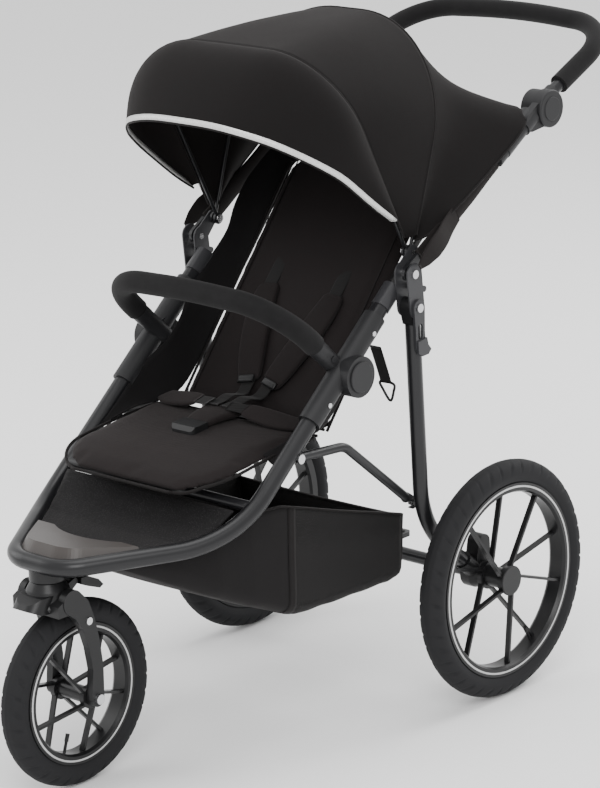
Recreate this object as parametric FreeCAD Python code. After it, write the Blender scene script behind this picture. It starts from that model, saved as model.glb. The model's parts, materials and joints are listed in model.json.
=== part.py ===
"""Three-wheeled jogging stroller, modelled as separate pieces.

Millimetres, +Z up, the stroller faces -Y and the child's left is +X. While the pieces are made,
Y is counted from the rear axle; save() moves everything by ORIGIN_SHIFT_Y, so that the origin is
on the ground under the middle of the whole stroller.
"""
import FreeCAD, Part
import math
import os

V = FreeCAD.Vector
X_AXIS = V(1, 0, 0)
Y_AXIS = V(0, 1, 0)
Z_AXIS = V(0, 0, 1)

# ---- driving dimensions --------------------------------------------------------------------------
ORIGIN_SHIFT_Y = 220.0

REAR_WHEEL_R = 200.0
REAR_WHEEL_X = 282.5
FRONT_WHEEL_R = 150.0
FRONT_AXLE = (-706.0, 150.0)
STEERING_Y = -753.0
TYRE_R = 21.5
AXLE_R = 6.0
FRONT_AXLE_R = 4.95
RUNNING_GAP = 0.05

FRAME_X = 203.0
FRAME_TUBE_R = 14.0
TUBE_WALL = 1.6
SLOPE_TOP = (-157.0, 725.0)
SLOPE_RISE = 0.852
FRAME_BEND = (-548.5, 391.44)
FRAME_BEND_R = 206.0
NOSE_CORNER = (54.0, -773.0, 377.5)
NOSE_BEND_R = 62.0

HUB = (-282.0, 598.0)
HUB_R = 33.0
SLEEVE_R = 18.5
SOCKET_X = 192.0
SOCKET_R = 15.0
SOCKET_END = 62.5
BUMPER_ANGLE = 137.0
BUMPER_REACH = 193.0
BUMPER_PIN_R = 8.0
BUMPER_FOAM_R = 18.0
BUMPER_BEND_R = 100.0

HANDLE_PIVOT = (-163.0, 741.0)
LEG_PIVOT = (-158.0, 686.0)
CANOPY_PIVOT = (-135.0, 768.0)
PIVOT_PIN_R = 5.0
CANOPY_PIN_R = 4.0
PLATE_INNER = (217.0, 219.5)
PLATE_OUTER = (242.5, 245.0)
LEVER_X = (245.4, 249.4)

LEG_X = 231.0
LEG_TUBE_R = 12.5
LEG_TOP = (-154.0, 658.0)
LEG_BEND = (-139.0, 318.0)
LEG_BEND_R = 150.0
LEG_END = (-7.0, 205.0)
CROSS_TUBE = (0.0, 200.0)
CROSS_TUBE_R = 11.0

HANDLE_SLOPE = 32.7
HANDLE_TUBE_R = 15.0
HANDLE_TUBE_START = 264.0
HANDLE_TUBE_END = 369.0
TILT_PIVOT = (183.0, 950.0)
TILT_R = 31.0
HANDLEBAR_ANGLE = 25.0
HANDLEBAR_X = 220.0
HANDLEBAR_REACH = 250.0
HANDLEBAR_BEND_R = 100.0
HANDLEBAR_TUBE_R = 12.0
GRIP_R = 16.0

HOOP_R = 3.0
FRONT_HOOP = {"angle": 116.6, "half": 206.0, "top": 364.0, "bend": 130.0, "eye": (202.0, 206.0)}
REAR_HOOP = {"angle": 72.6, "half": 213.0, "top": 360.0, "bend": 185.0, "eye": (209.5, 213.5)}
FABRIC = 2.0

SEAT_HALF = 165.0
SEAT_FRONT_Y = -575.0
SEAT_REAR_Y = -314.0
BACK_PIVOT = (-292.0, 486.0)
BACK_ANGLE = 51.0
BACK_LENGTH = 500.0
BACK_HALF = 160.0
BACK_THICK = 26.0

FORK_ARM = [((-749.0, 318.0), 20.0), ((-733.0, 304.0), 18.0), ((-719.0, 277.0), 14.0),
            ((-709.0, 240.0), 12.0), ((-703.0, 200.0), 11.0), (FRONT_AXLE, 13.0)]
CROWN_PROFILE = [(0, 303), (40, 305), (43, 312), (37, 322), (33, 334), (26, 346), (0, 347)]
LOCK_PIVOT = (-709.0, 334.0)
LOCK_PIN_R = 3.0

BASKET_HALF = 183.0
BASKET_WALL = 3.0

BRACE_FRONT = (-412.0, 494.0)
BRACE_KNEE = (-300.0, 486.0)
BRACE_TIP = (-138.0, 352.0)
BRACE_R = 7.5
BRACE_BOLT_R = 4.0



# ---- helpers -------------------------------------------------------------------------------------
def unit(vector):
    """The vector made one unit long."""
    out = V(vector)
    out.normalize()
    return out


def rod(start, end, radius):
    """A round bar between two points."""
    axis = end.sub(start)
    return Part.makeCylinder(radius, axis.Length, start, axis)


def rod_x(x0, x1, yz, radius):
    """A round bar along X at a place (y, z)."""
    return Part.makeCylinder(radius, x1 - x0, V(x0, yz[0], yz[1]), X_AXIS)


def ring_x(x0, x1, yz, outer, inner):
    """A ring along X."""
    return rod_x(x0, x1, yz, outer).cut(rod_x(x0 - 1, x1 + 1, yz, inner))


def box(x0, x1, y0, y1, z0, z1):
    return Part.makeBox(x1 - x0, y1 - y0, z1 - z0, V(x0, y0, z0))


def mirrored(shape):
    return shape.mirror(V(0, 0, 0), X_AXIS)


def polar(origin, angle_deg, radius):
    """A place (y, z) at a distance and an angle from +Y towards +Z."""
    angle = math.radians(angle_deg)
    return (origin[0] + radius * math.cos(angle), origin[1] + radius * math.sin(angle))


def bent_wire(points, radii):
    """Straight runs joined by tangent arcs: radii has one value per inner point."""
    edges = []
    at = points[0]
    for i in range(1, len(points) - 1):
        corner = points[i]
        before = unit(points[i - 1].sub(corner))
        after = unit(points[i + 1].sub(corner))
        half = before.getAngle(after) / 2
        reach = radii[i - 1] / math.tan(half)
        first = corner + before * reach
        last = corner + after * reach
        middle = corner + unit(before + after) * (radii[i - 1] / math.sin(half) - radii[i - 1])
        if at.sub(first).Length > 1e-6:
            edges.append(Part.LineSegment(at, first).toShape())
        edges.append(Part.Arc(first, middle, last).toShape())
        at = last
    edges.append(Part.LineSegment(at, points[-1]).toShape())
    return Part.Wire(edges)


def swept(wire, radius):
    """A solid of round section along a wire."""
    start = wire.OrderedVertexes[0].Point
    tangent = wire.OrderedEdges[0].tangentAt(wire.OrderedEdges[0].FirstParameter)
    circle = Part.Wire([Part.makeCircle(radius, start, tangent)])
    return wire.makePipeShell([circle], True, True)


def bent_tube(points, radii, radius, wall=0.0):
    """A bent tube; no wall makes it solid."""
    wire = bent_wire(points, radii)
    outer = swept(wire, radius)
    if wall == 0.0:
        return outer
    return outer.cut(swept(wire, radius - wall))


def tangent_plate(x0, x1, first, first_r, second, second_r):
    """A plate along X whose outline wraps two circles at places (y, z)."""
    dy = second[0] - first[0]
    dz = second[1] - first[1]
    distance = math.hypot(dy, dz)
    heading = math.atan2(dz, dy)
    spread = math.acos((first_r - second_r) / distance)

    def on_circle(centre, radius, angle):
        return V(x0, centre[0] + radius * math.cos(angle), centre[1] + radius * math.sin(angle))

    a1 = on_circle(first, first_r, heading + spread)
    a2 = on_circle(first, first_r, heading - spread)
    b1 = on_circle(second, second_r, heading + spread)
    b2 = on_circle(second, second_r, heading - spread)
    edges = [
        Part.LineSegment(a1, b1).toShape(),
        Part.Arc(b1, on_circle(second, second_r, heading), b2).toShape(),
        Part.LineSegment(b2, a2).toShape(),
        Part.Arc(a2, on_circle(first, first_r, heading + math.pi), a1).toShape(),
    ]
    return Part.Face(Part.Wire(edges)).extrude(V(x1 - x0, 0, 0))


def prism_x(points, x0, x1):
    """A polygon of places (y, z), extruded along X."""
    corners = [V(x0, y, z) for y, z in points]
    return Part.Face(Part.makePolygon(corners + [corners[0]])).extrude(V(x1 - x0, 0, 0))


def revolved_x(points, centre):
    """A polygon of (x, radius) turned about the X axis through a centre (x, y, z)."""
    corners = [V(centre[0] + x, centre[1], centre[2] + r) for x, r in points]
    face = Part.Face(Part.makePolygon(corners + [corners[0]]))
    return face.revolve(V(*centre), X_AXIS, 360)


def rounded(shape, radius, chosen):
    """Fillet the edges that chosen() accepts."""
    edges = [edge for edge in shape.Edges if chosen(edge)]
    return shape.makeFillet(radius, edges)


def slope_z(y):
    """Height of the frame's sloping tubes."""
    return SLOPE_TOP[1] + SLOPE_RISE * (y - SLOPE_TOP[0])


def slope_point(y, x=FRAME_X):
    return V(x, y, slope_z(y))


def save(name, solids):
    """Move the pieces to the part's origin and write one STEP file."""
    shape = solids[0] if len(solids) == 1 else Part.makeCompound(solids)
    shape = shape.copy()
    shape.translate(V(0, ORIGIN_SHIFT_Y, 0))
    shape.exportStep("parts/" + name + ".step")
    box_of = shape.BoundBox
    print("%-24s solids %2d  x %7.1f %7.1f  y %7.1f %7.1f  z %7.1f %7.1f  %s" % (
        name, len(shape.Solids), box_of.XMin, box_of.XMax, box_of.YMin, box_of.YMax,
        box_of.ZMin, box_of.ZMax, "ok" if shape.isValid() else "NOT VALID"))
    return box_of


def save_pair(name, solid):
    """The piece and its mirror image in one node."""
    return save(name, [solid, mirrored(solid)])


def save_sides(name, solid):
    """The piece as NAME_left and its mirror image as NAME_right."""
    save(name + "_left", [solid])
    save(name + "_right", [mirrored(solid)])


# ---- frame ---------------------------------------------------------------------------------------
def frame_points():
    """Corners of the U-shaped lower tube, from the left connector round the nose."""
    left = [slope_point(-335.0), V(FRAME_X, *FRAME_BEND), V(*NOSE_CORNER)]
    right = [V(-p.x, p.y, p.z) for p in reversed(left)]
    return left + right


def frame_radii():
    return [FRAME_BEND_R, NOSE_BEND_R, NOSE_BEND_R, FRAME_BEND_R]


def front_frame_tube():
    tube = bent_tube(frame_points(), frame_radii(), FRAME_TUBE_R, TUBE_WALL)
    hole = rod_x(FRAME_X - 10.0, FRAME_X + 20.0, BRACE_FRONT, BRACE_BOLT_R)
    return tube.cut(hole).cut(mirrored(hole))


def frame_plan(offset, y_rear):
    """Closed outline inside the U tube, seen from above: offset is counted from its middle line."""
    points = []
    for edge in bent_wire(frame_points(), frame_radii()).OrderedEdges:
        steps = 2 if edge.Curve.TypeId == "Part::GeomLine" else 10
        for point in edge.discretize(steps):
            if not points or point.sub(points[-1]).Length > 1.0:
                points.append(point)
    inner = []
    for i, point in enumerate(points):
        before = points[max(i - 1, 0)]
        after = points[min(i + 1, len(points) - 1)]
        along = unit(V(after.x - before.x, after.y - before.y, 0))
        inward = V(-along.y, along.x, 0) * -1
        inner.append(V(point.x, point.y, 0) + inward * offset)
    rear = [V(-inner[0].x, 0, 0), V(inner[0].x, 0, 0), inner[0]]
    whole = Part.Face(Part.makePolygon(inner + rear))
    return whole.common(Part.makePlane(600.0, 900.0, V(-300.0, y_rear - 900.0, 0))).Faces[0]


def plan_prism(offset, y_rear, z0, z1):
    face = frame_plan(offset, y_rear)
    face.translate(V(0, 0, z0))
    return face.extrude(V(0, 0, z1 - z0))


def upper_side_tube():
    return bent_tube([slope_point(-262.0), slope_point(-176.0)], [], FRAME_TUBE_R, TUBE_WALL)


def bumper_place(radius, x=SOCKET_X):
    y, z = polar(HUB, BUMPER_ANGLE, radius)
    return V(x, y, z)


def hub_connector():
    """Sleeve over both tubes, round hub and bumper socket, with the button's hole."""
    body = rod(slope_point(-374.0), slope_point(-214.0), SLEEVE_R)
    body = body.fuse(rod_x(188.0, 232.0, HUB, HUB_R))
    body = body.fuse(rod(bumper_place(0.0), bumper_place(SOCKET_END), SOCKET_R))
    body = body.cut(rod(slope_point(-380.0), slope_point(-205.0), FRAME_TUBE_R))
    body = body.cut(rod(bumper_place(32.0), bumper_place(SOCKET_END + 5), BUMPER_PIN_R + RUNNING_GAP))
    y, z = polar(HUB, BUMPER_ANGLE, 48.0)
    body = body.cut(rod_x(201.5, 212.0, (y, z), 5.4))
    return body.removeSplitter()


def connector_cap():
    disc = rod_x(232.0, 235.0, HUB, 25.0)
    return rounded(disc, 1.5, lambda e: e.BoundBox.XMin > 234.9)


def fold_bracket():
    """Cap on the side tube's upper end with two plates for the handle and the leg."""
    inner = tangent_plate(*PLATE_INNER, HANDLE_PIVOT, 17.0, LEG_PIVOT, 17.0)
    inner = inner.fuse(tangent_plate(*PLATE_INNER, CANOPY_PIVOT, 12.0, HANDLE_PIVOT, 15.0))
    outer = tangent_plate(*PLATE_OUTER, HANDLE_PIVOT, 17.5, LEG_PIVOT, 17.5)
    cap = rod(slope_point(-200.0), slope_point(-168.0), 15.8)
    cap = cap.cut(rod(slope_point(-203.0), slope_point(-176.0), FRAME_TUBE_R))
    spacer = rod_x(PLATE_INNER[0], PLATE_OUTER[1], (-140.0, 713.0), 5.0)
    body = inner.fuse([outer, cap, spacer])
    for pivot in (HANDLE_PIVOT, LEG_PIVOT):
        body = body.cut(rod_x(200.0, 250.0, pivot, PIVOT_PIN_R))
    return body.cut(rod_x(210.0, 225.0, CANOPY_PIVOT, CANOPY_PIN_R)).removeSplitter()


def pivot_pins():
    """Pins of the handle, the leg and the canopy on one side."""
    handle = rod_x(PLATE_INNER[0] - 0.8, PLATE_OUTER[1], HANDLE_PIVOT, PIVOT_PIN_R)
    handle = handle.fuse(rod_x(PLATE_OUTER[1], PLATE_OUTER[1] + 2.5, HANDLE_PIVOT, 7.0))
    leg = rod_x(PLATE_INNER[0] - 0.8, LEVER_X[1] + 0.3, LEG_PIVOT, PIVOT_PIN_R)
    leg = leg.fuse(rod_x(LEVER_X[1] + 0.3, LEVER_X[1] + 2.6, LEG_PIVOT, 7.0))
    canopy = rod_x(200.0, PLATE_INNER[1], CANOPY_PIVOT, CANOPY_PIN_R)
    canopy = canopy.fuse(rod_x(198.5, 200.5, CANOPY_PIVOT, 7.0))
    return [handle, leg, canopy]


def seat_cross_tube():
    bar = rod_x(-200.0, 200.0, (-505.0, 436.0), 9.0)
    return bar.cut(swept(bent_wire(frame_points(), frame_radii()), FRAME_TUBE_R))


def footrest_panel():
    """Taut fabric panel between the lower tubes, rising at its rear under the seat."""
    profile = [(-775, 380), (-664, 383), (-600, 388), (-560, 402), (-525, 430),
               (-525, 434), (-562, 405), (-602, 391), (-665, 386), (-775, 383)]
    return prism_x(profile, -200.0, 200.0).common(plan_prism(14.6, -526.0, 380.0, 450.0))


def nose_plate():
    """Crescent-shaped plastic cap inside the nose of the tube, with a leaning front face."""
    foot = frame_plan(9.0, -664.0).OuterWire
    lip = foot.copy()
    lip.scale(0.9, V(0, -664.0, 0))
    foot.translate(V(0, 0, 387.5))
    lip.translate(V(0, 0, 405.0))
    plate = Part.makeLoft([foot, lip], True, True)
    plate = plate.cut(Part.makeCylinder(125.0, 40.0, V(0, -562.0, 380.0)))
    plate = plate.cut(prism_x([(-756, 405), (-650, 396), (-650, 420), (-756, 420)], -150.0, 150.0))
    return plate.cut(swept(bent_wire(frame_points(), frame_radii()), FRAME_TUBE_R))


def steering_head():
    """Socket for the fork's stem, on an arm from the nose of the tube."""
    head = Part.makeCylinder(28.0, 30.5, V(0, STEERING_Y, 348.0))
    arm = plan_prism(0.0, -690.0, 368.0, 378.5).common(
        Part.makeCylinder(58.0, 30.0, V(0, STEERING_Y + 5, 360.0)))
    body = head.fuse(arm)
    body = body.cut(swept(bent_wire(frame_points(), frame_radii()), FRAME_TUBE_R))
    body = body.cut(Part.makeCylinder(9.0 + RUNNING_GAP, 21.5, V(0, STEERING_Y, 347.0)))
    return sorted(body.Solids, key=lambda s: s.Volume)[-1].removeSplitter()


def brace():
    """Bent stay from the bolt on the lower tube to a hook over the stud on the rear leg."""
    x = LEG_X - LEG_TUBE_R - BRACE_R - 1.5
    heading = math.degrees(math.atan2(BRACE_KNEE[1] - BRACE_TIP[1], BRACE_KNEE[0] - BRACE_TIP[0]))
    end = polar(BRACE_TIP, heading, 22.0)
    tube = bent_tube([V(x, *BRACE_FRONT), V(x, *BRACE_KNEE), V(x, *end)], [45.0], BRACE_R)
    hook = tangent_plate(x - 3, x + 3, end, 8.0, BRACE_TIP, 10.0)
    hook = hook.cut(tangent_plate(x - 4, x + 4, BRACE_TIP, 5.4, polar(BRACE_TIP, 184.0, 25.0), 6.4))
    body = tube.fuse(hook).cut(swept(bent_wire(frame_points(), frame_radii()), FRAME_TUBE_R))
    return body.cut(rod_x(FRAME_X - 10.0, FRAME_X + 30.0, BRACE_FRONT, BRACE_BOLT_R))


# ---- wheels --------------------------------------------------------------------------------------
def tyre(radius, centre):
    """Hollow tyre, open towards the rim."""
    middle = V(centre[0], centre[1], centre[2] + radius - TYRE_R)
    outer = Part.Face(Part.Wire([Part.makeCircle(TYRE_R, middle, Y_AXIS)]))
    inner = Part.Face(Part.Wire([Part.makeCircle(TYRE_R - 4.0, middle, Y_AXIS)]))
    slot = Part.Face(Part.makePolygon([
        V(centre[0] - 30, centre[1], middle.z - 60), V(centre[0] + 30, centre[1], middle.z - 60),
        V(centre[0] + 30, centre[1], middle.z - 15.4), V(centre[0] - 30, centre[1], middle.z - 15.4),
        V(centre[0] - 30, centre[1], middle.z - 60)]))
    section = outer.cut(inner).cut(slot)
    return section.revolve(V(*centre), X_AXIS, 360)


def rim(radius, centre, hub_in, hub_out, hub_r, bore_r):
    """Moulded wheel: rim, crossing blade spokes from two hub flanges, and the hub."""
    lip = radius - TYRE_R - 15.5
    ring = revolved_x([(-17, lip), (-13, lip), (-11, lip - 6), (11, lip - 6), (13, lip), (17, lip),
                       (17, lip - 13), (12, lip - 16), (-12, lip - 16), (-17, lip - 13)], centre)
    hub = rod_x(centre[0] + hub_in, centre[0] + hub_out, centre[1:], hub_r)
    for x0 in (hub_in, hub_out - 9.0):
        hub = hub.fuse(rod_x(centre[0] + x0, centre[0] + x0 + 9.0, centre[1:], hub_r + 6.0))
    body = ring.fuse(hub)
    blades = []
    for k in range(5):
        for side, x_hub in ((1, hub_out - 4.5), (-1, hub_in + 4.5)):
            start = polar(centre[1:], 72 * k + 12 * side, hub_r)
            end = polar(centre[1:], 72 * k - 16 * side, lip - 14.5)
            blades.append(spoke(V(centre[0] + x_hub, *start), V(centre[0] + 5.0 * side, *end)))
    body = body.fuse(blades)
    return body.cut(rod_x(centre[0] - 80, centre[0] + 80, centre[1:], bore_r)).removeSplitter()


def spoke(start, end, width=9.0, depth=4.5):
    """A blade from hub to rim, wide along X."""
    along = unit(end.sub(start))
    across = unit(along.cross(X_AXIS))
    wide = unit(across.cross(along))
    corners = []
    for a, b in ((-1, -1), (1, -1), (1, 1), (-1, 1)):
        corners.append(start + wide * (a * width / 2) + across * (b * depth / 2))
    face = Part.Face(Part.makePolygon(corners + [corners[0]]))
    return face.extrude(end.sub(start))


REAR_HUB_IN = -34.0
REAR_HUB_OUT = 17.5
REAR_CENTRE = (REAR_WHEEL_X, 0.0, REAR_WHEEL_R)
FRONT_CENTRE = (0.0, FRONT_AXLE[0], FRONT_AXLE[1])
FRONT_HUB_HALF = 37.0


def rear_hub_cap():
    """Round cover over the outer end of the axle."""
    x0 = REAR_WHEEL_X + REAR_HUB_OUT
    cap = rod_x(x0, x0 + 4.0, REAR_CENTRE[1:], 25.0)
    cap = rounded(cap, 1.5, lambda e: e.BoundBox.XMin > x0 + 3.9)
    return cap.cut(rod_x(x0 - 1, x0 + 2.0, REAR_CENTRE[1:], 12.0))


def rear_axle():
    pin = rod_x(214.0, REAR_WHEEL_X + REAR_HUB_OUT, REAR_CENTRE[1:], AXLE_R)
    return pin.fuse(rod_x(211.0, 214.0, REAR_CENTRE[1:], 9.0))


# ---- rear legs -----------------------------------------------------------------------------------
def rear_leg():
    points = [V(LEG_X, *LEG_TOP), V(LEG_X, *LEG_BEND), V(LEG_X, *LEG_END)]
    return bent_tube(points, [LEG_BEND_R], LEG_TUBE_R, TUBE_WALL)


def leg_end_fitting():
    """Tongue between the bracket's plates, plugged into the top of the leg."""
    tongue = tangent_plate(220.0, 242.0, LEG_PIVOT, 14.5, LEG_TOP, 11.0)
    heading = unit(V(0, LEG_BEND[0] - LEG_TOP[0], LEG_BEND[1] - LEG_TOP[1]))
    top = V(LEG_X, *LEG_TOP)
    room = rod(top, top + heading * 60.0, 30.0)
    plug = rod(top, top + heading * 30.0, LEG_TUBE_R - TUBE_WALL)
    return tongue.cut(room).fuse(plug).cut(rod_x(210, 250, LEG_PIVOT, PIVOT_PIN_R + RUNNING_GAP))


def rear_cross_tube():
    """Beam between the axle housings, in line with the axles."""
    return ring_x(-214.0, 214.0, CROSS_TUBE, CROSS_TUBE_R, CROSS_TUBE_R - TUBE_WALL)


def axle_housing():
    """Moulded end of the leg that holds the axle, with a lobe for the brake."""
    cone = Part.makeCone(25.0, 20.0, 16.0, V(232.0, 0, REAR_WHEEL_R), X_AXIS)
    body = rod_x(214.0, 232.0, REAR_CENTRE[1:], 25.0).fuse(cone)
    heading = unit(V(0, LEG_END[0] - LEG_BEND[0], LEG_END[1] - LEG_BEND[1]))
    end = V(LEG_X, *LEG_END)
    body = body.fuse(rod(end - heading * 42.0, end, LEG_TUBE_R + 2.8))
    body = body.fuse(tangent_plate(219.0, 243.0, REAR_CENTRE[1:], 20.0, (4.0, 252.0), 15.0))
    body = body.cut(rod(end - heading * 60.0, end, LEG_TUBE_R))
    return body.cut(rod_x(200.0, 260.0, REAR_CENTRE[1:], AXLE_R)).removeSplitter()


def leg_stud():
    """Stud on the inner side of the leg, where the brace hooks on."""
    stud = rod_x(LEG_X - LEG_TUBE_R - 14.0, LEG_X - LEG_TUBE_R + 1.5, BRACE_TIP, 4.6)
    return stud.cut(swept(bent_wire([V(LEG_X, *LEG_TOP), V(LEG_X, *LEG_BEND), V(LEG_X, *LEG_END)],
                                    [LEG_BEND_R]), LEG_TUBE_R))


def brake_pedal():
    """Foot pedal that turns on the cross tube."""
    collar = rod_x(-30.0, 30.0, CROSS_TUBE, CROSS_TUBE_R + 5.0)
    tread = box(-28.0, 28.0, CROSS_TUBE[0] + 10, CROSS_TUBE[0] + 75, CROSS_TUBE[1] + 4, CROSS_TUBE[1] + 12)
    tread = rounded(tread, 10.0, lambda e: abs(e.BoundBox.ZLength - 8.0) < 0.1 and e.BoundBox.YMin > 50)
    for k in range(4):
        y = CROSS_TUBE[0] + 34 + 9 * k
        tread = tread.fuse(box(-20.0, 20.0, y, y + 4, CROSS_TUBE[1] + 12, CROSS_TUBE[1] + 14))
    body = collar.fuse(tread)
    return body.cut(rod_x(-40.0, 40.0, CROSS_TUBE, CROSS_TUBE_R + RUNNING_GAP)).removeSplitter()


# ---- front fork ----------------------------------------------------------------------------------
def fork():
    """Crown with a front lip, and two arms that trail down to the axle."""
    bell = Part.makePolygon([V(0, STEERING_Y, z) if r == 0 else V(0, STEERING_Y - r, z)
                             for r, z in CROWN_PROFILE + CROWN_PROFILE[:1]])
    crown = Part.Face(bell).revolve(V(0, STEERING_Y, 0), Z_AXIS, 360)
    lip = prism_x([(-812, 313), (-806, 321), (-790, 329), (-770, 331), (-770, 303), (-796, 306)], -30.0, 30.0)
    lip = rounded(lip, 22.0, lambda e: e.BoundBox.XLength < 0.1 and e.BoundBox.YMax < -800)
    bridge = prism_x([(-780, 318), (-760, 328), (-735, 326), (-722, 312), (-726, 300), (-780, 300)], -50.0, 50.0)
    body = crown.fuse([lip, bridge])
    for side in (1, -1):
        x0, x1 = (38.0, 51.0) if side > 0 else (-51.0, -38.0)
        for (first, first_r), (second, second_r) in zip(FORK_ARM, FORK_ARM[1:]):
            body = body.fuse(tangent_plate(x0, x1, first, first_r, second, second_r))
    tyre_room = Part.makeTorus(FRONT_WHEEL_R - TYRE_R, TYRE_R + 3.0, V(*FRONT_CENTRE), X_AXIS)
    for x0 in (-15.0, 11.0):
        body = body.fuse(tangent_plate(x0, x0 + 4.0, LOCK_PIVOT, 5.5, (-728.0, 324.0), 8.0))
    body = body.fuse(rod_x(-15.0, 15.0, LOCK_PIVOT, LOCK_PIN_R))
    body = body.cut(tyre_room)
    body = body.cut(Part.makeCylinder(9.0, 80.0, V(0, STEERING_Y, 290.0)))
    return body.cut(rod_x(-60.0, 60.0, FRONT_AXLE, FRONT_AXLE_R)).removeSplitter()


def steering_stem():
    return Part.makeCylinder(9.0, 59.0, V(0, STEERING_Y, 309.0))


def front_axle_bolt():
    """Axle with a round head and a nut outside the fork's arms, and a screw high on each arm."""
    bolt = rod_x(-52.0, 52.0, FRONT_AXLE, FRONT_AXLE_R)
    bolt = bolt.fuse(rod_x(51.0, 57.0, FRONT_AXLE, 8.0))
    nut = prism_x([polar(FRONT_AXLE, 60 * k, 9.0) for k in range(6)], -57.0, -51.0)
    screw = rod_x(51.0, 53.0, (-718.4, 280.5), 6.0)
    return [bolt.fuse(nut), screw, mirrored(screw)]


def swivel_lock_lever():
    """Small lever behind the crown that locks the swivel."""
    lever = prism_x([(-701, 338), (-688, 338), (-664, 327), (-654, 316), (-662, 312), (-688, 322),
                     (-701, 328)], -20.0, 20.0)
    lever = lever.fuse([rod_x(-10.0, 10.0, LOCK_PIVOT, 6.0), box(-10.0, 10.0, -708.0, -699.0, 329.0, 338.0)])
    return lever.cut(rod_x(-30.0, 30.0, LOCK_PIVOT, LOCK_PIN_R + RUNNING_GAP)).removeSplitter()


# ---- handle --------------------------------------------------------------------------------------
def handle_place(radius, x=LEG_X):
    y, z = polar(HANDLE_PIVOT, HANDLE_SLOPE, radius)
    return V(x, y, z)


def handle_link():
    """Flat bar from the bracket up into the handle tube."""
    end = polar(HANDLE_PIVOT, HANDLE_SLOPE, HANDLE_TUBE_START + 42.0)
    bar = tangent_plate(228.0, 234.0, HANDLE_PIVOT, 12.5, end, 8.0)
    return bar.cut(rod_x(220.0, 240.0, HANDLE_PIVOT, PIVOT_PIN_R + RUNNING_GAP))


def handle_tube():
    """Round tube with a moulded lower end that closes round the flat bar."""
    tube = rod(handle_place(HANDLE_TUBE_START + 22), handle_place(HANDLE_TUBE_END), HANDLE_TUBE_R)
    tube = tube.cut(rod(handle_place(HANDLE_TUBE_START + 50), handle_place(400.0), HANDLE_TUBE_R - TUBE_WALL))
    end = rod(handle_place(HANDLE_TUBE_START), handle_place(HANDLE_TUBE_START + 24), HANDLE_TUBE_R - 1.0)
    tip = polar(HANDLE_PIVOT, HANDLE_SLOPE, HANDLE_TUBE_START + 42.0)
    slot = tangent_plate(228.0, 234.0, HANDLE_PIVOT, 12.5, tip, 8.0)
    return tube.fuse(end).cut(slot).removeSplitter()


def tilt_housing():
    """Outer half of the tilt joint, on the handle tube, with the button's recess."""
    disc = rod_x(233.0, 252.0, TILT_PIVOT, TILT_R)
    disc = rounded(disc, 3.0, lambda e: e.BoundBox.XMin > 251.9)
    arm = rod(handle_place(HANDLE_TUBE_END - 26), handle_place(HANDLE_TUBE_END + 4), HANDLE_TUBE_R + 2.5)
    neck = tangent_plate(233.3, 246.0, polar(HANDLE_PIVOT, HANDLE_SLOPE, HANDLE_TUBE_END - 11), 16.0, TILT_PIVOT, 26.0)
    swing = rod_x(200.0, 233.0, TILT_PIVOT, TILT_R + 0.6)
    body = arm.cut(swing).fuse([disc, neck])
    body = body.cut(rod(handle_place(HANDLE_TUBE_END - 40), handle_place(HANDLE_TUBE_END), HANDLE_TUBE_R))
    body = body.cut(rod_x(245.0, 260.0, TILT_PIVOT, 20.3))
    return sorted(body.cut(rod_x(220.0, 246.0, TILT_PIVOT, 7.0)).Solids, key=lambda s: s.Volume)[-1]


def tilt_button():
    button = rod_x(249.4, 253.4, TILT_PIVOT, 20.0)
    return rounded(button, 1.5, lambda e: e.BoundBox.XMin > 253.3)


def tilt_hub():
    """Inner half of the tilt joint with its stub, on the handlebar."""
    disc = rod_x(208.0, 232.6, TILT_PIVOT, 29.0)
    disc = rounded(disc, 3.0, lambda e: e.BoundBox.XMax < 208.1)
    stub = rod_x(232.0, 244.6, TILT_PIVOT, 6.95)
    socket = rod(handlebar_place(HANDLEBAR_X, 26.0), handlebar_place(HANDLEBAR_X, 46.0), 13.6 - 1.0)
    body = disc.fuse([stub, socket])
    return body.cut(rod(handlebar_place(HANDLEBAR_X, 20.0), handlebar_place(HANDLEBAR_X, 60.0),
                        HANDLEBAR_TUBE_R - 1.5))


def handlebar_place(x, radius):
    y, z = polar(TILT_PIVOT, HANDLEBAR_ANGLE, radius)
    return V(x, y, z)


def handlebar_wire(start):
    """Middle line of the handlebar: two arms and a slightly bowed bar across."""
    points = [handlebar_place(HANDLEBAR_X, start), handlebar_place(HANDLEBAR_X, HANDLEBAR_REACH - 14.0),
              handlebar_place(0.0, HANDLEBAR_REACH + 8.0)]
    points += [V(-p.x, p.y, p.z) for p in reversed(points[:2])]
    return bent_wire(points, [HANDLEBAR_BEND_R, 900.0, HANDLEBAR_BEND_R])


def handlebar_tube():
    outer = swept(handlebar_wire(20.0), HANDLEBAR_TUBE_R - 1.5)
    return outer.cut(swept(handlebar_wire(20.0), HANDLEBAR_TUBE_R - 1.5 - TUBE_WALL))


def handlebar_grip():
    """Soft cover on the handlebar."""
    return swept(handlebar_wire(66.0), GRIP_R).cut(swept(handlebar_wire(60.0), HANDLEBAR_TUBE_R - 1.5))


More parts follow.
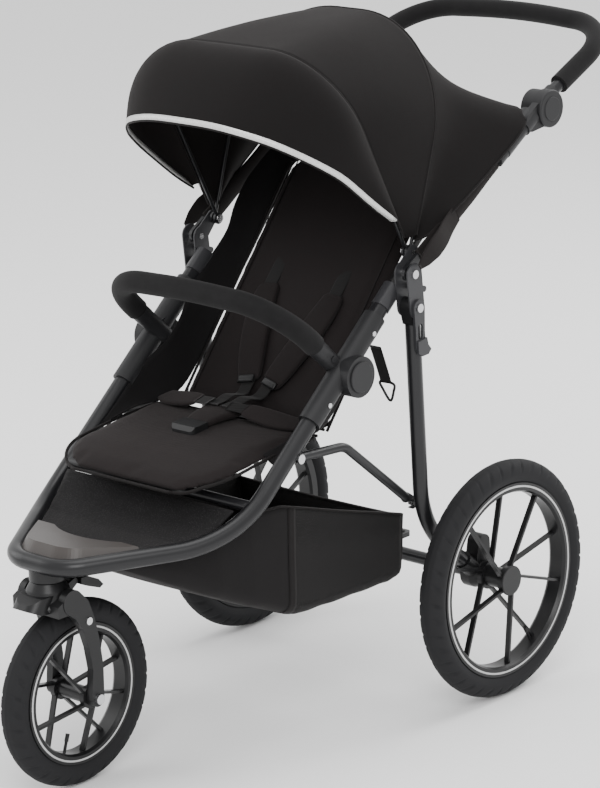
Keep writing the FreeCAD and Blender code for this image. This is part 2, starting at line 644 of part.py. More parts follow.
def fold_lever():
    """Release lever on the bracket, with a finger hole and a flared foot."""
    foot = polar(LEG_PIVOT, -88.0, 62.0)
    waist = polar(LEG_PIVOT, -88.0, 39.0)
    body = tangent_plate(*LEVER_X, LEG_PIVOT, 13.0, waist, 11.0)
    body = body.fuse(tangent_plate(*LEVER_X, waist, 11.0, foot, 12.0))
    flare = prism_x([(foot[0] - 10, foot[1] + 8), (foot[0] + 12, foot[1] + 12), (foot[0] + 15, foot[1]),
                     (foot[0] + 22, foot[1] - 9), (foot[0] + 15, foot[1] - 16), (foot[0], foot[1] - 17),
                     (foot[0] - 9, foot[1] - 11)], LEVER_X[0], LEVER_X[1] + 3.0)
    body = body.fuse(flare)
    hole = tangent_plate(LEVER_X[0] - 2, LEVER_X[1] + 6, polar(waist, 90.0, 7.5), 5.5,
                         polar(waist, -90.0, 7.5), 5.4)
    body = body.cut(hole)
    return body.cut(rod_x(240.0, 255.0, LEG_PIVOT, PIVOT_PIN_R + RUNNING_GAP)).removeSplitter()


# ---- canopy --------------------------------------------------------------------------------------
def hoop_place(angle, x, radius, pivot=CANOPY_PIVOT):
    y, z = polar(pivot, angle, radius)
    return V(x, y, z)


def hoop(spec):
    """Bent wire with a flat eye at each end."""
    mid = (spec["eye"][0] + spec["eye"][1]) / 2
    points = [hoop_place(spec["angle"], mid, 9.0), hoop_place(spec["angle"], spec["half"], spec["top"])]
    points += [V(-p.x, p.y, p.z) for p in reversed(points)]
    wire = swept(bent_wire(points, [spec["bend"], spec["bend"]]), HOOP_R)
    eye = rod_x(spec["eye"][0], spec["eye"][1], CANOPY_PIVOT, 10.0)
    body = wire.fuse([eye, mirrored(eye)])
    bore = rod_x(190.0, 215.9, CANOPY_PIVOT, CANOPY_PIN_R + RUNNING_GAP)
    return body.cut(bore).cut(mirrored(bore)).removeSplitter()


def arch_band(angle, half, low, top, bend, pivot=CANOPY_PIVOT):
    """Closed outline of a fabric band over a hoop, in the hoop's plane."""
    wires = []
    for inset in (0.0, FABRIC):
        points = [hoop_place(angle, half - inset, low, pivot),
                  hoop_place(angle, half - inset, top - inset, pivot)]
        points += [V(-p.x, p.y, p.z) for p in reversed(points)]
        wires.append(bent_wire(points, [bend - inset, bend - inset]))
    outer, inner = wires
    edges = list(outer.OrderedEdges)
    for end_out, end_in in ((outer.OrderedVertexes[-1], inner.OrderedVertexes[-1]),
                            (inner.OrderedVertexes[0], outer.OrderedVertexes[0])):
        edges.append(Part.LineSegment(end_out.Point, end_in.Point).toShape())
        if end_out.Point == outer.OrderedVertexes[-1].Point:
            edges += list(reversed(inner.OrderedEdges))
    return Part.Wire(Part.__sortEdges__(edges))


def fabric_panel(first, second):
    return Part.makeLoft([first, second], True, True)


def canopy_visor():
    return fabric_panel(arch_band(116.9, 212.0, 95.0, 370.0, 132.0),
                        arch_band(146.0, 211.0, 0.0, 272.0, 135.0, pivot=(-190.0, 846.0)))


def canopy_middle_panel():
    return fabric_panel(arch_band(74.0, 219.0, 26.0, 366.0, 186.0),
                        arch_band(115.6, 212.0, 26.0, 370.0, 132.0))


def canopy_rear_panel():
    """From the rear hoop down to the handle tubes, and on to a flap behind the back."""
    ridge = arch_band(38.0, 213.0, 30.0, 306.0, 60.0)
    upper = fabric_panel(ridge, arch_band(72.8, 219.5, 30.0, 367.5, 187.0))
    flap = fabric_panel(arch_band(26.0, 213.0, 30.0, 244.0, 60.0), ridge)
    return upper.fuse(flap).removeSplitter()


# ---- seat ----------------------------------------------------------------------------------------
def seat_cushion():
    """Thin padded seat that droops a little at its front edge."""
    bottom = [(SEAT_FRONT_Y, 457), (-470, 474), (-390, 486), (SEAT_REAR_Y, 488)]
    top = [(y, z + 24) for y, z in reversed(bottom)]
    pad = prism_x(bottom + top, -SEAT_HALF, SEAT_HALF)
    corner = 70.0
    plan = [V(-SEAT_HALF, SEAT_REAR_Y, 440), V(-SEAT_HALF, SEAT_FRONT_Y, 440),
            V(SEAT_HALF, SEAT_FRONT_Y, 440), V(SEAT_HALF, SEAT_REAR_Y, 440)]
    outline = bent_wire(plan, [corner, corner])
    close = Part.LineSegment(plan[-1], plan[0]).toShape()
    face = Part.Face(Part.Wire(list(outline.OrderedEdges) + [close]))
    return pad.common(face.extrude(V(0, 0, 100)))


def backrest():
    """Padded back, on the line of its recline hinge."""
    pad = Part.makeBox(2 * BACK_HALF, BACK_LENGTH - 5, BACK_THICK, V(-BACK_HALF, 5, -BACK_THICK / 2))
    pad = rounded(pad, 60.0, lambda e: e.BoundBox.ZLength > 20 and e.BoundBox.YMin > 400)
    pad.rotate(V(0, 0, 0), X_AXIS, BACK_ANGLE)
    pad.translate(V(0, *BACK_PIVOT))
    return pad.fuse(rod_x(-BACK_HALF, BACK_HALF, BACK_PIVOT, BACK_THICK / 2)).removeSplitter()


def on_back(x0, x1, s0, s1, n0, n1):
    """A block on the back's front face: s runs up the back, n out of it."""
    block = Part.makeBox(x1 - x0, s1 - s0, n1 - n0, V(x0, s0, BACK_THICK / 2 + n0))
    block.rotate(V(0, 0, 0), X_AXIS, BACK_ANGLE)
    block.translate(V(0, *BACK_PIVOT))
    return block


def shoulder_straps():
    return [on_back(53.0, 91.0, 95.0, 345.0, 0.0, 7.0), on_back(-91.0, -53.0, 95.0, 345.0, 0.0, 7.0)]


def crotch_strap():
    """Padded strap that lies on the seat, narrow towards the buckle."""
    pad = prism_x([(-318, 512.2), (-390, 510.1), (-414, 506.6), (-414, 518), (-390, 522), (-318, 524)], -50, 50)
    plan = Part.Face(Part.makePolygon([V(-44, -318, 500), V(44, -318, 500), V(26, -414, 500),
                                       V(-26, -414, 500), V(-44, -318, 500)]))
    return pad.common(plan.extrude(V(0, 0, 40)))


def harness_buckle():
    """Flat buckle at the front end of the crotch pad."""
    body = prism_x([(-414, 507.5), (-450, 502.5), (-450, 511), (-444, 518), (-414, 520)], -25.0, 25.0)
    return rounded(body, 8.0, lambda e: e.BoundBox.XLength < 0.1 and e.BoundBox.YLength < 0.1 and e.BoundBox.YMax < -440)


def side_panel():
    """Fabric wing between the side tube and the back."""
    corners = [(-430, 508), (-300, 500), (-120, 640), (-40, 770), (-150, 716), (-268, 616), (-330, 562)]
    return prism_x(corners, 170.0, 172.0)


def basket():
    """Open fabric basket: deep at the rear, running up to the lower tube in front."""
    profile = [(-128, 324), (-131, 234), (-147, 221), (-378, 219), (-560, 296), (-690, 366),
               (-560, 382), (-520, 406), (-420, 416), (-260, 362)]
    inside = [(-131, 420), (-134, 236), (-148, 224), (-377, 222), (-558, 299), (-676, 366),
              (-560, 379), (-521, 402), (-521, 520), (-131, 520)]
    outer = prism_x(profile, -BASKET_HALF, BASKET_HALF)
    outer = outer.common(plan_prism(16.0, -120.0, 150.0, 500.0))
    inner = prism_x(inside, -BASKET_HALF + BASKET_WALL, BASKET_HALF - BASKET_WALL)
    inner = inner.common(plan_prism(16.0 + BASKET_WALL, -110.0, 150.0, 600.0))
    return outer.cut(inner)


def recline_strap():
    """Webbing that hangs behind the back, with a wire ring at its end."""
    strap = prism_x([(-148, 606), (-130, 539), (-128, 540), (-145, 608)], 140.0, 165.0)
    ring = Part.makeTorus(13.0, 1.8, V(152.5, -122.0, 527.0), Y_AXIS)
    return [strap, ring]


# ---- bumper bar ----------------------------------------------------------------------------------
def bumper_wire(start):
    points = [bumper_place(start), bumper_place(BUMPER_REACH - 4.0), bumper_place(BUMPER_REACH + 10.0, 0.0)]
    points += [V(-p.x, p.y, p.z) for p in reversed(points[:2])]
    return bent_wire(points, [BUMPER_BEND_R, 700.0, BUMPER_BEND_R])


def bumper_core():
    return swept(bumper_wire(34.0), BUMPER_PIN_R)


def bumper_foam():
    """Foam cover over the bar."""
    return swept(bumper_wire(86.0), BUMPER_FOAM_R).cut(swept(bumper_wire(80.0), BUMPER_PIN_R))


def bumper_collar():
    collar = rod(bumper_place(63.2), bumper_place(86.0), 15.5)
    return collar.cut(rod(bumper_place(60.0), bumper_place(90.0), BUMPER_PIN_R))


def bumper_button():
    y, z = polar(HUB, BUMPER_ANGLE, 48.0)
    return rod_x(204.2, 209.0, (y, z), 5.0)


def frame_bolts():
    """Silver bolts of the braces and rivets of the connectors, one side."""
    bolt = rod_x(FRAME_X - 10.0, FRAME_X + 15.0, BRACE_FRONT, BRACE_BOLT_R)
    bolt = bolt.fuse(rod_x(FRAME_X + 15.0, FRAME_X + 18.0, BRACE_FRONT, 7.5))
    pieces = [bolt]
    for y in (-237.0, -345.0):
        rivet = rod_x(FRAME_X + SLEEVE_R - 0.6, FRAME_X + SLEEVE_R + 1.4, (y, slope_z(y)), 4.0)
        pieces.append(rivet.cut(rod(slope_point(-374.0), slope_point(-214.0), SLEEVE_R)))
    return pieces


def main():
    os.makedirs("parts", exist_ok=True)
    save("front_frame_tube", [front_frame_tube()])
    save_pair("upper_side_tubes", upper_side_tube())
    save_pair("hub_connectors", hub_connector())
    save_pair("connector_caps", connector_cap())
    save_pair("fold_brackets", fold_bracket())
    pins = pivot_pins()
    save("pivot_pins", pins + [mirrored(pin) for pin in pins])
    save("seat_cross_tube", [seat_cross_tube()])
    save("footrest_panel", [footrest_panel()])
    save("nose_plate", [nose_plate()])
    save("steering_head", [steering_head()])
    save("seat_cushion", [seat_cushion()])
    save("basket", [basket()])
    save_pair("braces", brace())
    bolts = frame_bolts()
    save("frame_bolts", bolts + [mirrored(bolt) for bolt in bolts])
    save("canopy_rear_hoop", [hoop(REAR_HOOP)])
    save("canopy_rear_panel", [canopy_rear_panel()])
    save("canopy_middle_panel", [canopy_middle_panel()])
    save_pair("side_panels", side_panel())
    save("crotch_strap", [crotch_strap()])
    save("harness_buckle", [harness_buckle()])

    save_sides("rear_leg", rear_leg())
    save_pair("leg_end_fittings", leg_end_fitting())
    save("rear_cross_tube", [rear_cross_tube()])
    save_pair("axle_housings", axle_housing())
    save_pair("rear_axles", rear_axle())
    save_pair("brace_studs", leg_stud())
    save("brake_pedal", [brake_pedal()])
    save_sides("rear_tyre", tyre(REAR_WHEEL_R, REAR_CENTRE))
    save_sides("rear_rim", rim(REAR_WHEEL_R, REAR_CENTRE, REAR_HUB_IN, REAR_HUB_OUT, 17.0,
                               AXLE_R + RUNNING_GAP))
    save_sides("rear_hub_cap", rear_hub_cap())

    save("fork", [fork()])
    save("steering_stem", [steering_stem()])
    save("front_axle_bolt", front_axle_bolt())
    save("swivel_lock_lever", [swivel_lock_lever()])
    save("front_tyre", [tyre(FRONT_WHEEL_R, FRONT_CENTRE)])
    save("front_rim", [rim(FRONT_WHEEL_R, FRONT_CENTRE, -FRONT_HUB_HALF, FRONT_HUB_HALF, 13.0,
                           FRONT_AXLE_R + RUNNING_GAP)])

    save_pair("handle_links", handle_link())
    save_pair("handle_tubes", handle_tube())
    save_pair("tilt_housings", tilt_housing())
    save_sides("tilt_button", tilt_button())
    save_pair("tilt_hubs", tilt_hub())
    save("handlebar_tube", [handlebar_tube()])
    save("handlebar_grip", [handlebar_grip()])
    save_sides("fold_lever", fold_lever())

    save("canopy_front_hoop", [hoop(FRONT_HOOP)])
    save("canopy_visor", [canopy_visor()])
    save("backrest", [backrest()])
    save("shoulder_straps", shoulder_straps())
    save("recline_strap", recline_strap())

    save("bumper_core", [bumper_core()])
    save("bumper_foam", [bumper_foam()])
    save_pair("bumper_collars", bumper_collar())
    save_sides("bumper_button", bumper_button())


main()
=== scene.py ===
"""Looks of the three-wheeled jogging stroller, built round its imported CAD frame."""
import json
import math

import bmesh
import bpy
import numpy as np
from mathutils import Matrix, Vector


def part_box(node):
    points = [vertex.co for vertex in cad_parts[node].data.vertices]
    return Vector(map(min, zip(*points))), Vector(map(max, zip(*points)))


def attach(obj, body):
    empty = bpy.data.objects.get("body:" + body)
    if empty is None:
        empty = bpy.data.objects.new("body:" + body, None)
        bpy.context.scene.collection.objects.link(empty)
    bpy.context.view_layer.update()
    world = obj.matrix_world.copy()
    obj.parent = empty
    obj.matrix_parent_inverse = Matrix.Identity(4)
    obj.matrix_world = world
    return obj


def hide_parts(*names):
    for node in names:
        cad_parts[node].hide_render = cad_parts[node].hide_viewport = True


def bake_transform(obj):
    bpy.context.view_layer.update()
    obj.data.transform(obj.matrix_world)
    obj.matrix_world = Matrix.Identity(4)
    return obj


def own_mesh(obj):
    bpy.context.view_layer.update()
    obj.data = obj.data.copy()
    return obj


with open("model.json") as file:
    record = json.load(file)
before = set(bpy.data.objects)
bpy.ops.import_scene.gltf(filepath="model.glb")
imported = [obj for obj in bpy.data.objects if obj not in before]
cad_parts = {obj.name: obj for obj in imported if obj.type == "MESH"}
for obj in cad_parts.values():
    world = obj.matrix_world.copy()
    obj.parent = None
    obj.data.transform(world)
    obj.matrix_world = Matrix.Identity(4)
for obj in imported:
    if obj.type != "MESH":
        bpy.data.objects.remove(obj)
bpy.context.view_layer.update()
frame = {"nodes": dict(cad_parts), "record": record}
NODES = frame["nodes"]
MM = 0.001
SIDES = (("left", 1), ("right", -1))

# The design was drawn with Y counted from the rear axle: this is where that axle is now.
AXLE_Y = (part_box("rear_tyre_left")[0].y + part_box("rear_tyre_left")[1].y) / 2


def at(x, y, z):
    """A place in millimetres, Y from the rear axle, as metres in the row's frame."""
    return np.array([x * MM, y * MM + AXLE_Y, z * MM])


def polar(origin, angle_deg, radius):
    angle = math.radians(angle_deg)
    return (origin[0] + radius * math.cos(angle), origin[1] + radius * math.sin(angle))


# ---- materials -----------------------------------------------------------------------------------
class Shader:
    """A node material with a few ready-made steps."""

    def __init__(self, name, color, roughness, metallic=0.0, specular=0.5):
        self.mat = bpy.data.materials.new(name)
        self.mat.use_nodes = True
        self.tree = self.mat.node_tree
        self.bsdf = self.tree.nodes["Principled BSDF"]
        self.bsdf.inputs["Base Color"].default_value = (*color, 1)
        self.bsdf.inputs["Roughness"].default_value = roughness
        self.bsdf.inputs["Metallic"].default_value = metallic
        self.bsdf.inputs["Specular IOR Level"].default_value = specular
        self.coords = self.tree.nodes.new("ShaderNodeTexCoord").outputs["Object"]
        self.color = color
        self.height = None

    def node(self, kind, **settings):
        made = self.tree.nodes.new("ShaderNode" + kind)
        for key, value in settings.items():
            if hasattr(made, key):
                setattr(made, key, value)
            else:
                made.inputs[key.replace("_", " ")].default_value = value
        return made

    def link(self, output, target):
        self.tree.links.new(output, target)

    def noise(self, scale, detail=4.0, stretch=None):
        made = self.node("TexNoise", Scale=scale, Detail=detail)
        source = self.coords
        if stretch:
            mapping = self.node("Mapping")
            mapping.inputs["Scale"].default_value = stretch
            self.link(source, mapping.inputs["Vector"])
            source = mapping.outputs["Vector"]
        self.link(source, made.inputs["Vector"])
        return made.outputs["Fac"]

    def wave(self, scale, direction, distortion=0.4, rotate=(0, 0, 0)):
        made = self.node("TexWave", Scale=scale, Distortion=distortion, bands_direction=direction)
        mapping = self.node("Mapping")
        mapping.inputs["Rotation"].default_value = rotate
        self.link(self.coords, mapping.inputs["Vector"])
        self.link(mapping.outputs["Vector"], made.inputs["Vector"])
        return made.outputs["Fac"]

    def math(self, operation, a, b):
        made = self.node("Math", operation=operation)
        for i, value in enumerate((a, b)):
            if isinstance(value, (int, float)):
                made.inputs[i].default_value = value
            else:
                self.link(value, made.inputs[i])
        return made.outputs["Value"]

    def ramp(self, fac, low, high):
        made = self.node("MapRange")
        made.inputs["To Min"].default_value = low
        made.inputs["To Max"].default_value = high
        self.link(fac, made.inputs["Value"])
        return made.outputs["Result"]

    def tint(self, fac, dark, light):
        """Base colour moves between two multiples of itself."""
        mix = self.node("Mix", data_type="RGBA")
        mix.inputs["A"].default_value = (*[c * dark for c in self.color], 1)
        mix.inputs["B"].default_value = (*[min(c * light, 1) for c in self.color], 1)
        self.link(fac, mix.inputs["Factor"])
        self.link(mix.outputs["Result"], self.bsdf.inputs["Base Color"])
        return mix

    def bump(self, fac, strength, distance):
        made = self.node("Bump", Strength=strength, Distance=distance)
        self.link(fac, made.inputs["Height"])
        if self.height is not None:
            self.link(self.height, made.inputs["Normal"])
        self.height = made.outputs["Normal"]
        self.link(self.height, self.bsdf.inputs["Normal"])


def woven(name, color, thread=0.9, roughness=0.85, sheen=0.25, melange=0.25, strength=0.35):
    """Woven cloth: crossing threads, a soft mottling, wrinkles and sheen."""
    s = Shader(name, color, roughness, specular=0.12)
    scale = 314.0 / thread
    warp = s.math("MAXIMUM", s.wave(scale, "X"), s.wave(scale, "Z"))
    weft = s.math("MULTIPLY", warp, s.ramp(s.wave(scale, "Y"), 0.55, 1.0))
    mottle = s.noise(260.0, 6.0)
    cloud = s.noise(9.0, 3.0)
    s.tint(s.math("MULTIPLY", s.math("ADD", mottle, cloud), 0.5), 1 - melange, 1 + melange)
    s.link(s.ramp(cloud, roughness - 0.06, min(roughness + 0.06, 1.0)), s.bsdf.inputs["Roughness"])
    s.bump(s.noise(34.0, 3.0), 0.18, 0.002)
    s.bump(weft, strength, 0.0003)
    s.bsdf.inputs["Sheen Weight"].default_value = sheen * 0.3
    s.bsdf.inputs["Sheen Roughness"].default_value = 0.45
    s.bsdf.inputs["Sheen Tint"].default_value = (0.9, 0.85, 0.84, 1)
    return s


def mesh_cloth(name, color, hole=2.6):
    """Open net: round holes let some light through."""
    s = woven(name, color, 0.7, 0.8, 0.15)
    cells = s.node("TexVoronoi", Scale=1000.0 / hole, Randomness=0.25)
    s.link(s.coords, cells.inputs["Vector"])
    solid = s.node("MapRange")
    solid.inputs["From Min"].default_value = 0.18
    solid.inputs["From Max"].default_value = 0.34
    solid.inputs["To Min"].default_value = 0.45
    s.link(cells.outputs["Distance"], solid.inputs["Value"])
    s.link(solid.outputs["Result"], s.bsdf.inputs["Alpha"])
    s.bump(cells.outputs["Distance"], 0.5, 0.0006)
    return s


def plastic(name, color, roughness=0.42, grain=0.12, size=900.0):
    """Moulded plastic with a fine grain and faint handling marks."""
    s = Shader(name, color, roughness, specular=0.28)
    smudge = s.noise(14.0, 5.0)
    s.tint(smudge, 0.88, 1.14)
    s.link(s.ramp(smudge, roughness - 0.07, roughness + 0.1), s.bsdf.inputs["Roughness"])
    s.bump(s.noise(size, 3.0), grain, 0.0003)
    return s


def powder_coat(name, color, roughness=0.3):
    """Powder-coated metal: slight orange peel and lighter rubbed edges."""
    s = Shader(name, color, roughness, specular=0.3)
    cloud = s.noise(22.0, 4.0)
    geometry = s.node("NewGeometry")
    edge = s.node("MapRange")
    edge.inputs["From Min"].default_value = 0.52
    edge.inputs["From Max"].default_value = 0.64
    s.link(geometry.outputs["Pointiness"], edge.inputs["Value"])
    worn = s.math("MULTIPLY", edge.outputs["Result"], 0.5)
    s.tint(s.math("ADD", s.math("MULTIPLY", cloud, 0.4), worn), 0.85, 1.5)
    s.link(s.ramp(cloud, roughness - 0.05, roughness + 0.08), s.bsdf.inputs["Roughness"])
    s.bump(s.noise(700.0, 2.0), 0.05, 0.0004)
    s.bsdf.inputs["Coat Weight"].default_value = 0.08
    s.bsdf.inputs["Coat Roughness"].default_value = 0.25
    return s


def bright_steel(name, color=(0.62, 0.62, 0.63)):
    s = Shader(name, color, 0.25, metallic=1.0)
    scratch = s.noise(260.0, 4.0, (1, 1, 9))
    s.tint(scratch, 0.82, 1.1)
    s.link(s.ramp(scratch, 0.16, 0.36), s.bsdf.inputs["Roughness"])
    s.bump(scratch, 0.06, 0.0003)
    return s


def rubber(name, color, roughness=0.72):
    s = Shader(name, color, roughness, specular=0.18)
    dust = s.noise(30.0, 6.0)
    s.tint(dust, 0.75, 1.35)
    s.link(s.ramp(dust, roughness - 0.1, min(roughness + 0.14, 1.0)), s.bsdf.inputs["Roughness"])
    s.bump(s.noise(420.0, 4.0), 0.14, 0.0005)
    return s


def foam(name, color):
    s = Shader(name, color, 0.88, specular=0.1)
    s.tint(s.noise(60.0, 6.0), 0.8, 1.3)
    pores = s.node("TexVoronoi", Scale=900.0)
    s.link(s.coords, pores.inputs["Vector"])
    s.bump(pores.outputs["Distance"], 0.35, 0.0004)
    s.bump(s.noise(40.0, 3.0), 0.08, 0.002)
    s.bsdf.inputs["Sheen Weight"].default_value = 0.05
    return s


def webbing(name, color):
    """Ribbed strap."""
    s = Shader(name, color, 0.7, specular=0.15)
    ribs = s.wave(160.0, "Z", 0.2)
    s.tint(s.math("MULTIPLY", s.math("ADD", ribs, s.noise(300.0)), 0.5), 0.7, 1.4)
    s.bump(ribs, 0.4, 0.0004)
    s.bsdf.inputs["Sheen Weight"].default_value = 0.06
    return s


def reflective(name):
    """Light tape with a small honeycomb grain."""
    s = Shader(name, (0.62, 0.62, 0.61), 0.38, metallic=0.25)
    cells = s.node("TexVoronoi", Scale=420.0)
    s.link(s.coords, cells.inputs["Vector"])
    s.tint(cells.outputs["Distance"], 0.82, 1.15)
    s.bump(cells.outputs["Distance"], 0.25, 0.0003)
    return s


def footrest_skin(name, color):
    """Coarse non-slip cloth with light flecks."""
    s = woven(name, color, 1.4, 0.75, 0.15, 0.4, 0.6)
    flecks = s.node("TexVoronoi", Scale=330.0, Randomness=1.0)
    s.link(s.coords, flecks.inputs["Vector"])
    mask = s.node("MapRange")
    mask.inputs["From Min"].default_value = 0.28
    mask.inputs["From Max"].default_value = 0.12
    s.link(flecks.outputs["Distance"], mask.inputs["Value"])
    s.tint(mask.outputs["Result"], 0.75, 3.0)
    s.bump(flecks.outputs["Distance"], 0.7, 0.0008)
    return s


FABRIC = woven("canopy_cloth", (0.0105, 0.0088, 0.0086), 0.8, 0.86, 0.16)
LINING = woven("canopy_lining", (0.0075, 0.0066, 0.0066), 0.8, 0.9, 0.12)
SEAT_CLOTH = woven("seat_cloth", (0.013, 0.0105, 0.0105), 1.0, 0.84, 0.2, 0.3, 0.45)
WING_CLOTH = woven("wing_cloth", (0.008, 0.0075, 0.0078), 0.9, 0.86, 0.12)
PIPING = woven("piping_cloth", (0.008, 0.007, 0.007), 0.7, 0.7, 0.15)
NET = mesh_cloth("basket_net", (0.012, 0.0115, 0.0115))
BASKET_CLOTH = woven("basket_cloth", (0.0095, 0.0088, 0.009), 1.2, 0.84, 0.15)
FOOT_CLOTH = footrest_skin("footrest_cloth", (0.012, 0.0115, 0.012))
WEBBING = webbing("strap_webbing", (0.008, 0.0075, 0.0075))
TAPE = reflective("reflective_tape")
TUBE = powder_coat("frame_coat", (0.0085, 0.0085, 0.0095))
BRACKET = powder_coat("bracket_coat", (0.022, 0.022, 0.024), 0.36)
DARK_PLASTIC = plastic("dark_grey_plastic", (0.014, 0.014, 0.015), 0.45)
BLACK_PLASTIC = plastic("black_plastic", (0.0095, 0.0095, 0.01), 0.36)
WHEEL_PLASTIC = plastic("wheel_plastic", (0.0085, 0.0085, 0.009), 0.3)
# Nose plastic: the whole part is coloured at the tone of its lit top face, a painted highlight over the
# plastic's own grey.
NOSE_PLASTIC_PAINTED_HIGHLIGHT = plastic("nose_plastic_painted_highlight", (0.052, 0.046, 0.043), 0.34, 0.05)
TYRE = rubber("tyre_rubber", (0.0125, 0.0125, 0.0135))
GRIP = foam("grip_foam", (0.0095, 0.0092, 0.0095))
STEEL = bright_steel("bright_steel")
RIM_LINE = Shader("rim_line", (0.5, 0.5, 0.5), 0.35, metallic=0.4)
RIM_LINE.tint(RIM_LINE.noise(40.0), 0.85, 1.1)
RIM_LINE.bump(RIM_LINE.noise(500.0), 0.08, 0.0003)

CAD_FINISH = {
    "satin_black_tube": TUBE, "dark_grey_plastic": DARK_PLASTIC, "black_plastic": BLACK_PLASTIC,
    "bracket_grey": BRACKET, "silver_steel": STEEL, "black_fabric": FABRIC,
    "seat_fabric": SEAT_CLOTH, "basket_fabric": BASKET_CLOTH, "strap_webbing": WEBBING,
    "grip_foam": GRIP, "tyre_rubber": TYRE, "wheel_plastic": WHEEL_PLASTIC,
    "nose_satin": NOSE_PLASTIC_PAINTED_HIGHLIGHT,
}
for part in frame["record"]["subparts"]:
    mesh = NODES[part["node"]].data
    mesh.materials.clear()
    mesh.materials.append(CAD_FINISH[part["material_slot"]].mat)


# ---- mesh helpers --------------------------------------------------------------------------------
def piece(name, points, faces, shader, smooth=True):
    mesh = bpy.data.meshes.new(name)
    mesh.from_pydata([tuple(p) for p in points], [], [tuple(f) for f in faces])
    mesh.validate()
    if smooth:
        mesh.polygons.foreach_set("use_smooth", [True] * len(mesh.polygons))
    mesh.materials.append(shader.mat)
    obj = bpy.data.objects.new(name, mesh)
    bpy.context.scene.collection.objects.link(obj)
    return obj


def grid_faces(nu, nv, wrap_u=False, wrap_v=False, start=0):
    faces = []
    for i in range(nu if wrap_u else nu - 1):
        for j in range(nv if wrap_v else nv - 1):
            a, b = i * nv + j, ((i + 1) % nu) * nv + j
            c, d = ((i + 1) % nu) * nv + (j + 1) % nv, i * nv + (j + 1) % nv
            faces.append((start + a, start + b, start + c, start + d))
    return faces


def spline(points, count, closed=False):
    """Catmull-Rom curve through the points, evenly spaced by length."""
    pts = np.array(points, float)
    n = len(pts)
    dense = []
    spans = n if closed else n - 1
    for i in range(spans):
        if closed:
            p0, p1, p2, p3 = pts[i - 1], pts[i], pts[(i + 1) % n], pts[(i + 2) % n]
        else:
            p0, p1, p2, p3 = pts[max(i - 1, 0)], pts[i], pts[i + 1], pts[min(i + 2, n - 1)]
        for t in np.linspace(0, 1, 24, endpoint=False):
            dense.append(0.5 * (2 * p1 + (p2 - p0) * t + (2 * p0 - 5 * p1 + 4 * p2 - p3) * t * t
                                + (3 * p1 - p0 - 3 * p2 + p3) * t ** 3))
    dense.append(pts[0] if closed else pts[-1])
    dense = np.array(dense)
    length = np.concatenate([[0], np.cumsum(np.linalg.norm(np.diff(dense, axis=0), axis=1))])
    goal = np.linspace(0, length[-1], count, endpoint=not closed)
    return np.stack([np.interp(goal, length, dense[:, k]) for k in range(dense.shape[1])], 1)


def tube(name, path, radius, shader, sides=12, closed=False, flat=1.0, up=None):
    """A round (or flattened) tube along a path of points in metres."""
    path = np.array(path, float)
    n = len(path)
    if closed:
        tangent = np.roll(path, -1, 0) - np.roll(path, 1, 0)
    else:
        tangent = np.gradient(path, axis=0)
    tangent /= np.linalg.norm(tangent, axis=1)[:, None]
    ref = np.array(up if up is not None else (0.0, 0.0, 1.0))
    points = []
    for i in range(n):
        side = np.cross(tangent[i], ref)
        if np.linalg.norm(side) < 1e-3:
            side = np.cross(tangent[i], (1.0, 0.0, 0.0))
        side /= np.linalg.norm(side)
        normal = np.cross(side, tangent[i])
        for k in range(sides):
            a = 2 * math.pi * k / sides
            points.append(path[i] + radius * (math.cos(a) * side + flat * math.sin(a) * normal))
    faces = grid_faces(n, sides, closed, True)
    if not closed:
        faces.append(tuple(range(sides))[::-1])
        faces.append(tuple((n - 1) * sides + k for k in range(sides)))
    return piece(name, points, faces, shader)


def add_modifier(obj, kind, **settings):
    mod = obj.modifiers.new(kind.lower(), kind)
    for key, value in settings.items():
        setattr(mod, key, value)
    return mod


def bake(obj):
    """Applies every modifier, so that only the mesh is left."""
    dg = bpy.context.evaluated_depsgraph_get()
    mesh = bpy.data.meshes.new_from_object(obj.evaluated_get(dg))
    obj.modifiers.clear()
    old = obj.data
    obj.data = mesh
    bpy.data.meshes.remove(old)
    obj.data.polygons.foreach_set("use_smooth", [True] * len(obj.data.polygons))


def cloth_sheet(name, grid, shader, thickness=1.6, lining=None):
    """A sheet with a real thickness from a grid of points [nu][nv] in metres."""
    nu, nv = grid.shape[:2]
    obj = piece(name, grid.reshape(-1, 3), grid_faces(nu, nv), shader)
    if lining:
        obj.data.materials.append(lining.mat)
    add_modifier(obj, "SOLIDIFY", thickness=thickness * MM, offset=0.0,
                 material_offset=1 if lining else 0)
    bake(obj)
    return obj


def area_of(grid):
    du = grid[1:, :-1] - grid[:-1, :-1]
    dv = grid[:-1, 1:] - grid[:-1, :-1]
    return float(np.linalg.norm(np.cross(du, dv), axis=2).sum())


def joined(name, objs):
    """Several meshes as one piece, keeping their materials."""
    target = objs[0]
    bm = bmesh.new()
    materials = []
    for obj in objs:
        start = len(bm.faces)
        index = {}
        for i, mat in enumerate(obj.data.materials):
            if mat not in materials:
                materials.append(mat)
            index[i] = materials.index(mat)
        slots = [index[p.material_index] for p in obj.data.polygons]
        bm.from_mesh(obj.data)
        bm.faces.ensure_lookup_table()
        for k, slot in enumerate(slots):
            bm.faces[start + k].material_index = slot
    mesh = bpy.data.meshes.new(name)
    bm.to_mesh(mesh)
    bm.free()
    for mat in materials:
        mesh.materials.append(mat)
    for obj in objs[1:]:
        bpy.data.objects.remove(obj)
    target.data = mesh
    target.name = name
    return target


# ---- canopy --------------------------------------------------------------------------------------
CANOPY_PIVOT = (-135.0, 768.0)
FRONT_ANGLE, REAR_ANGLE = 116.6, 72.6
ROWS = 73


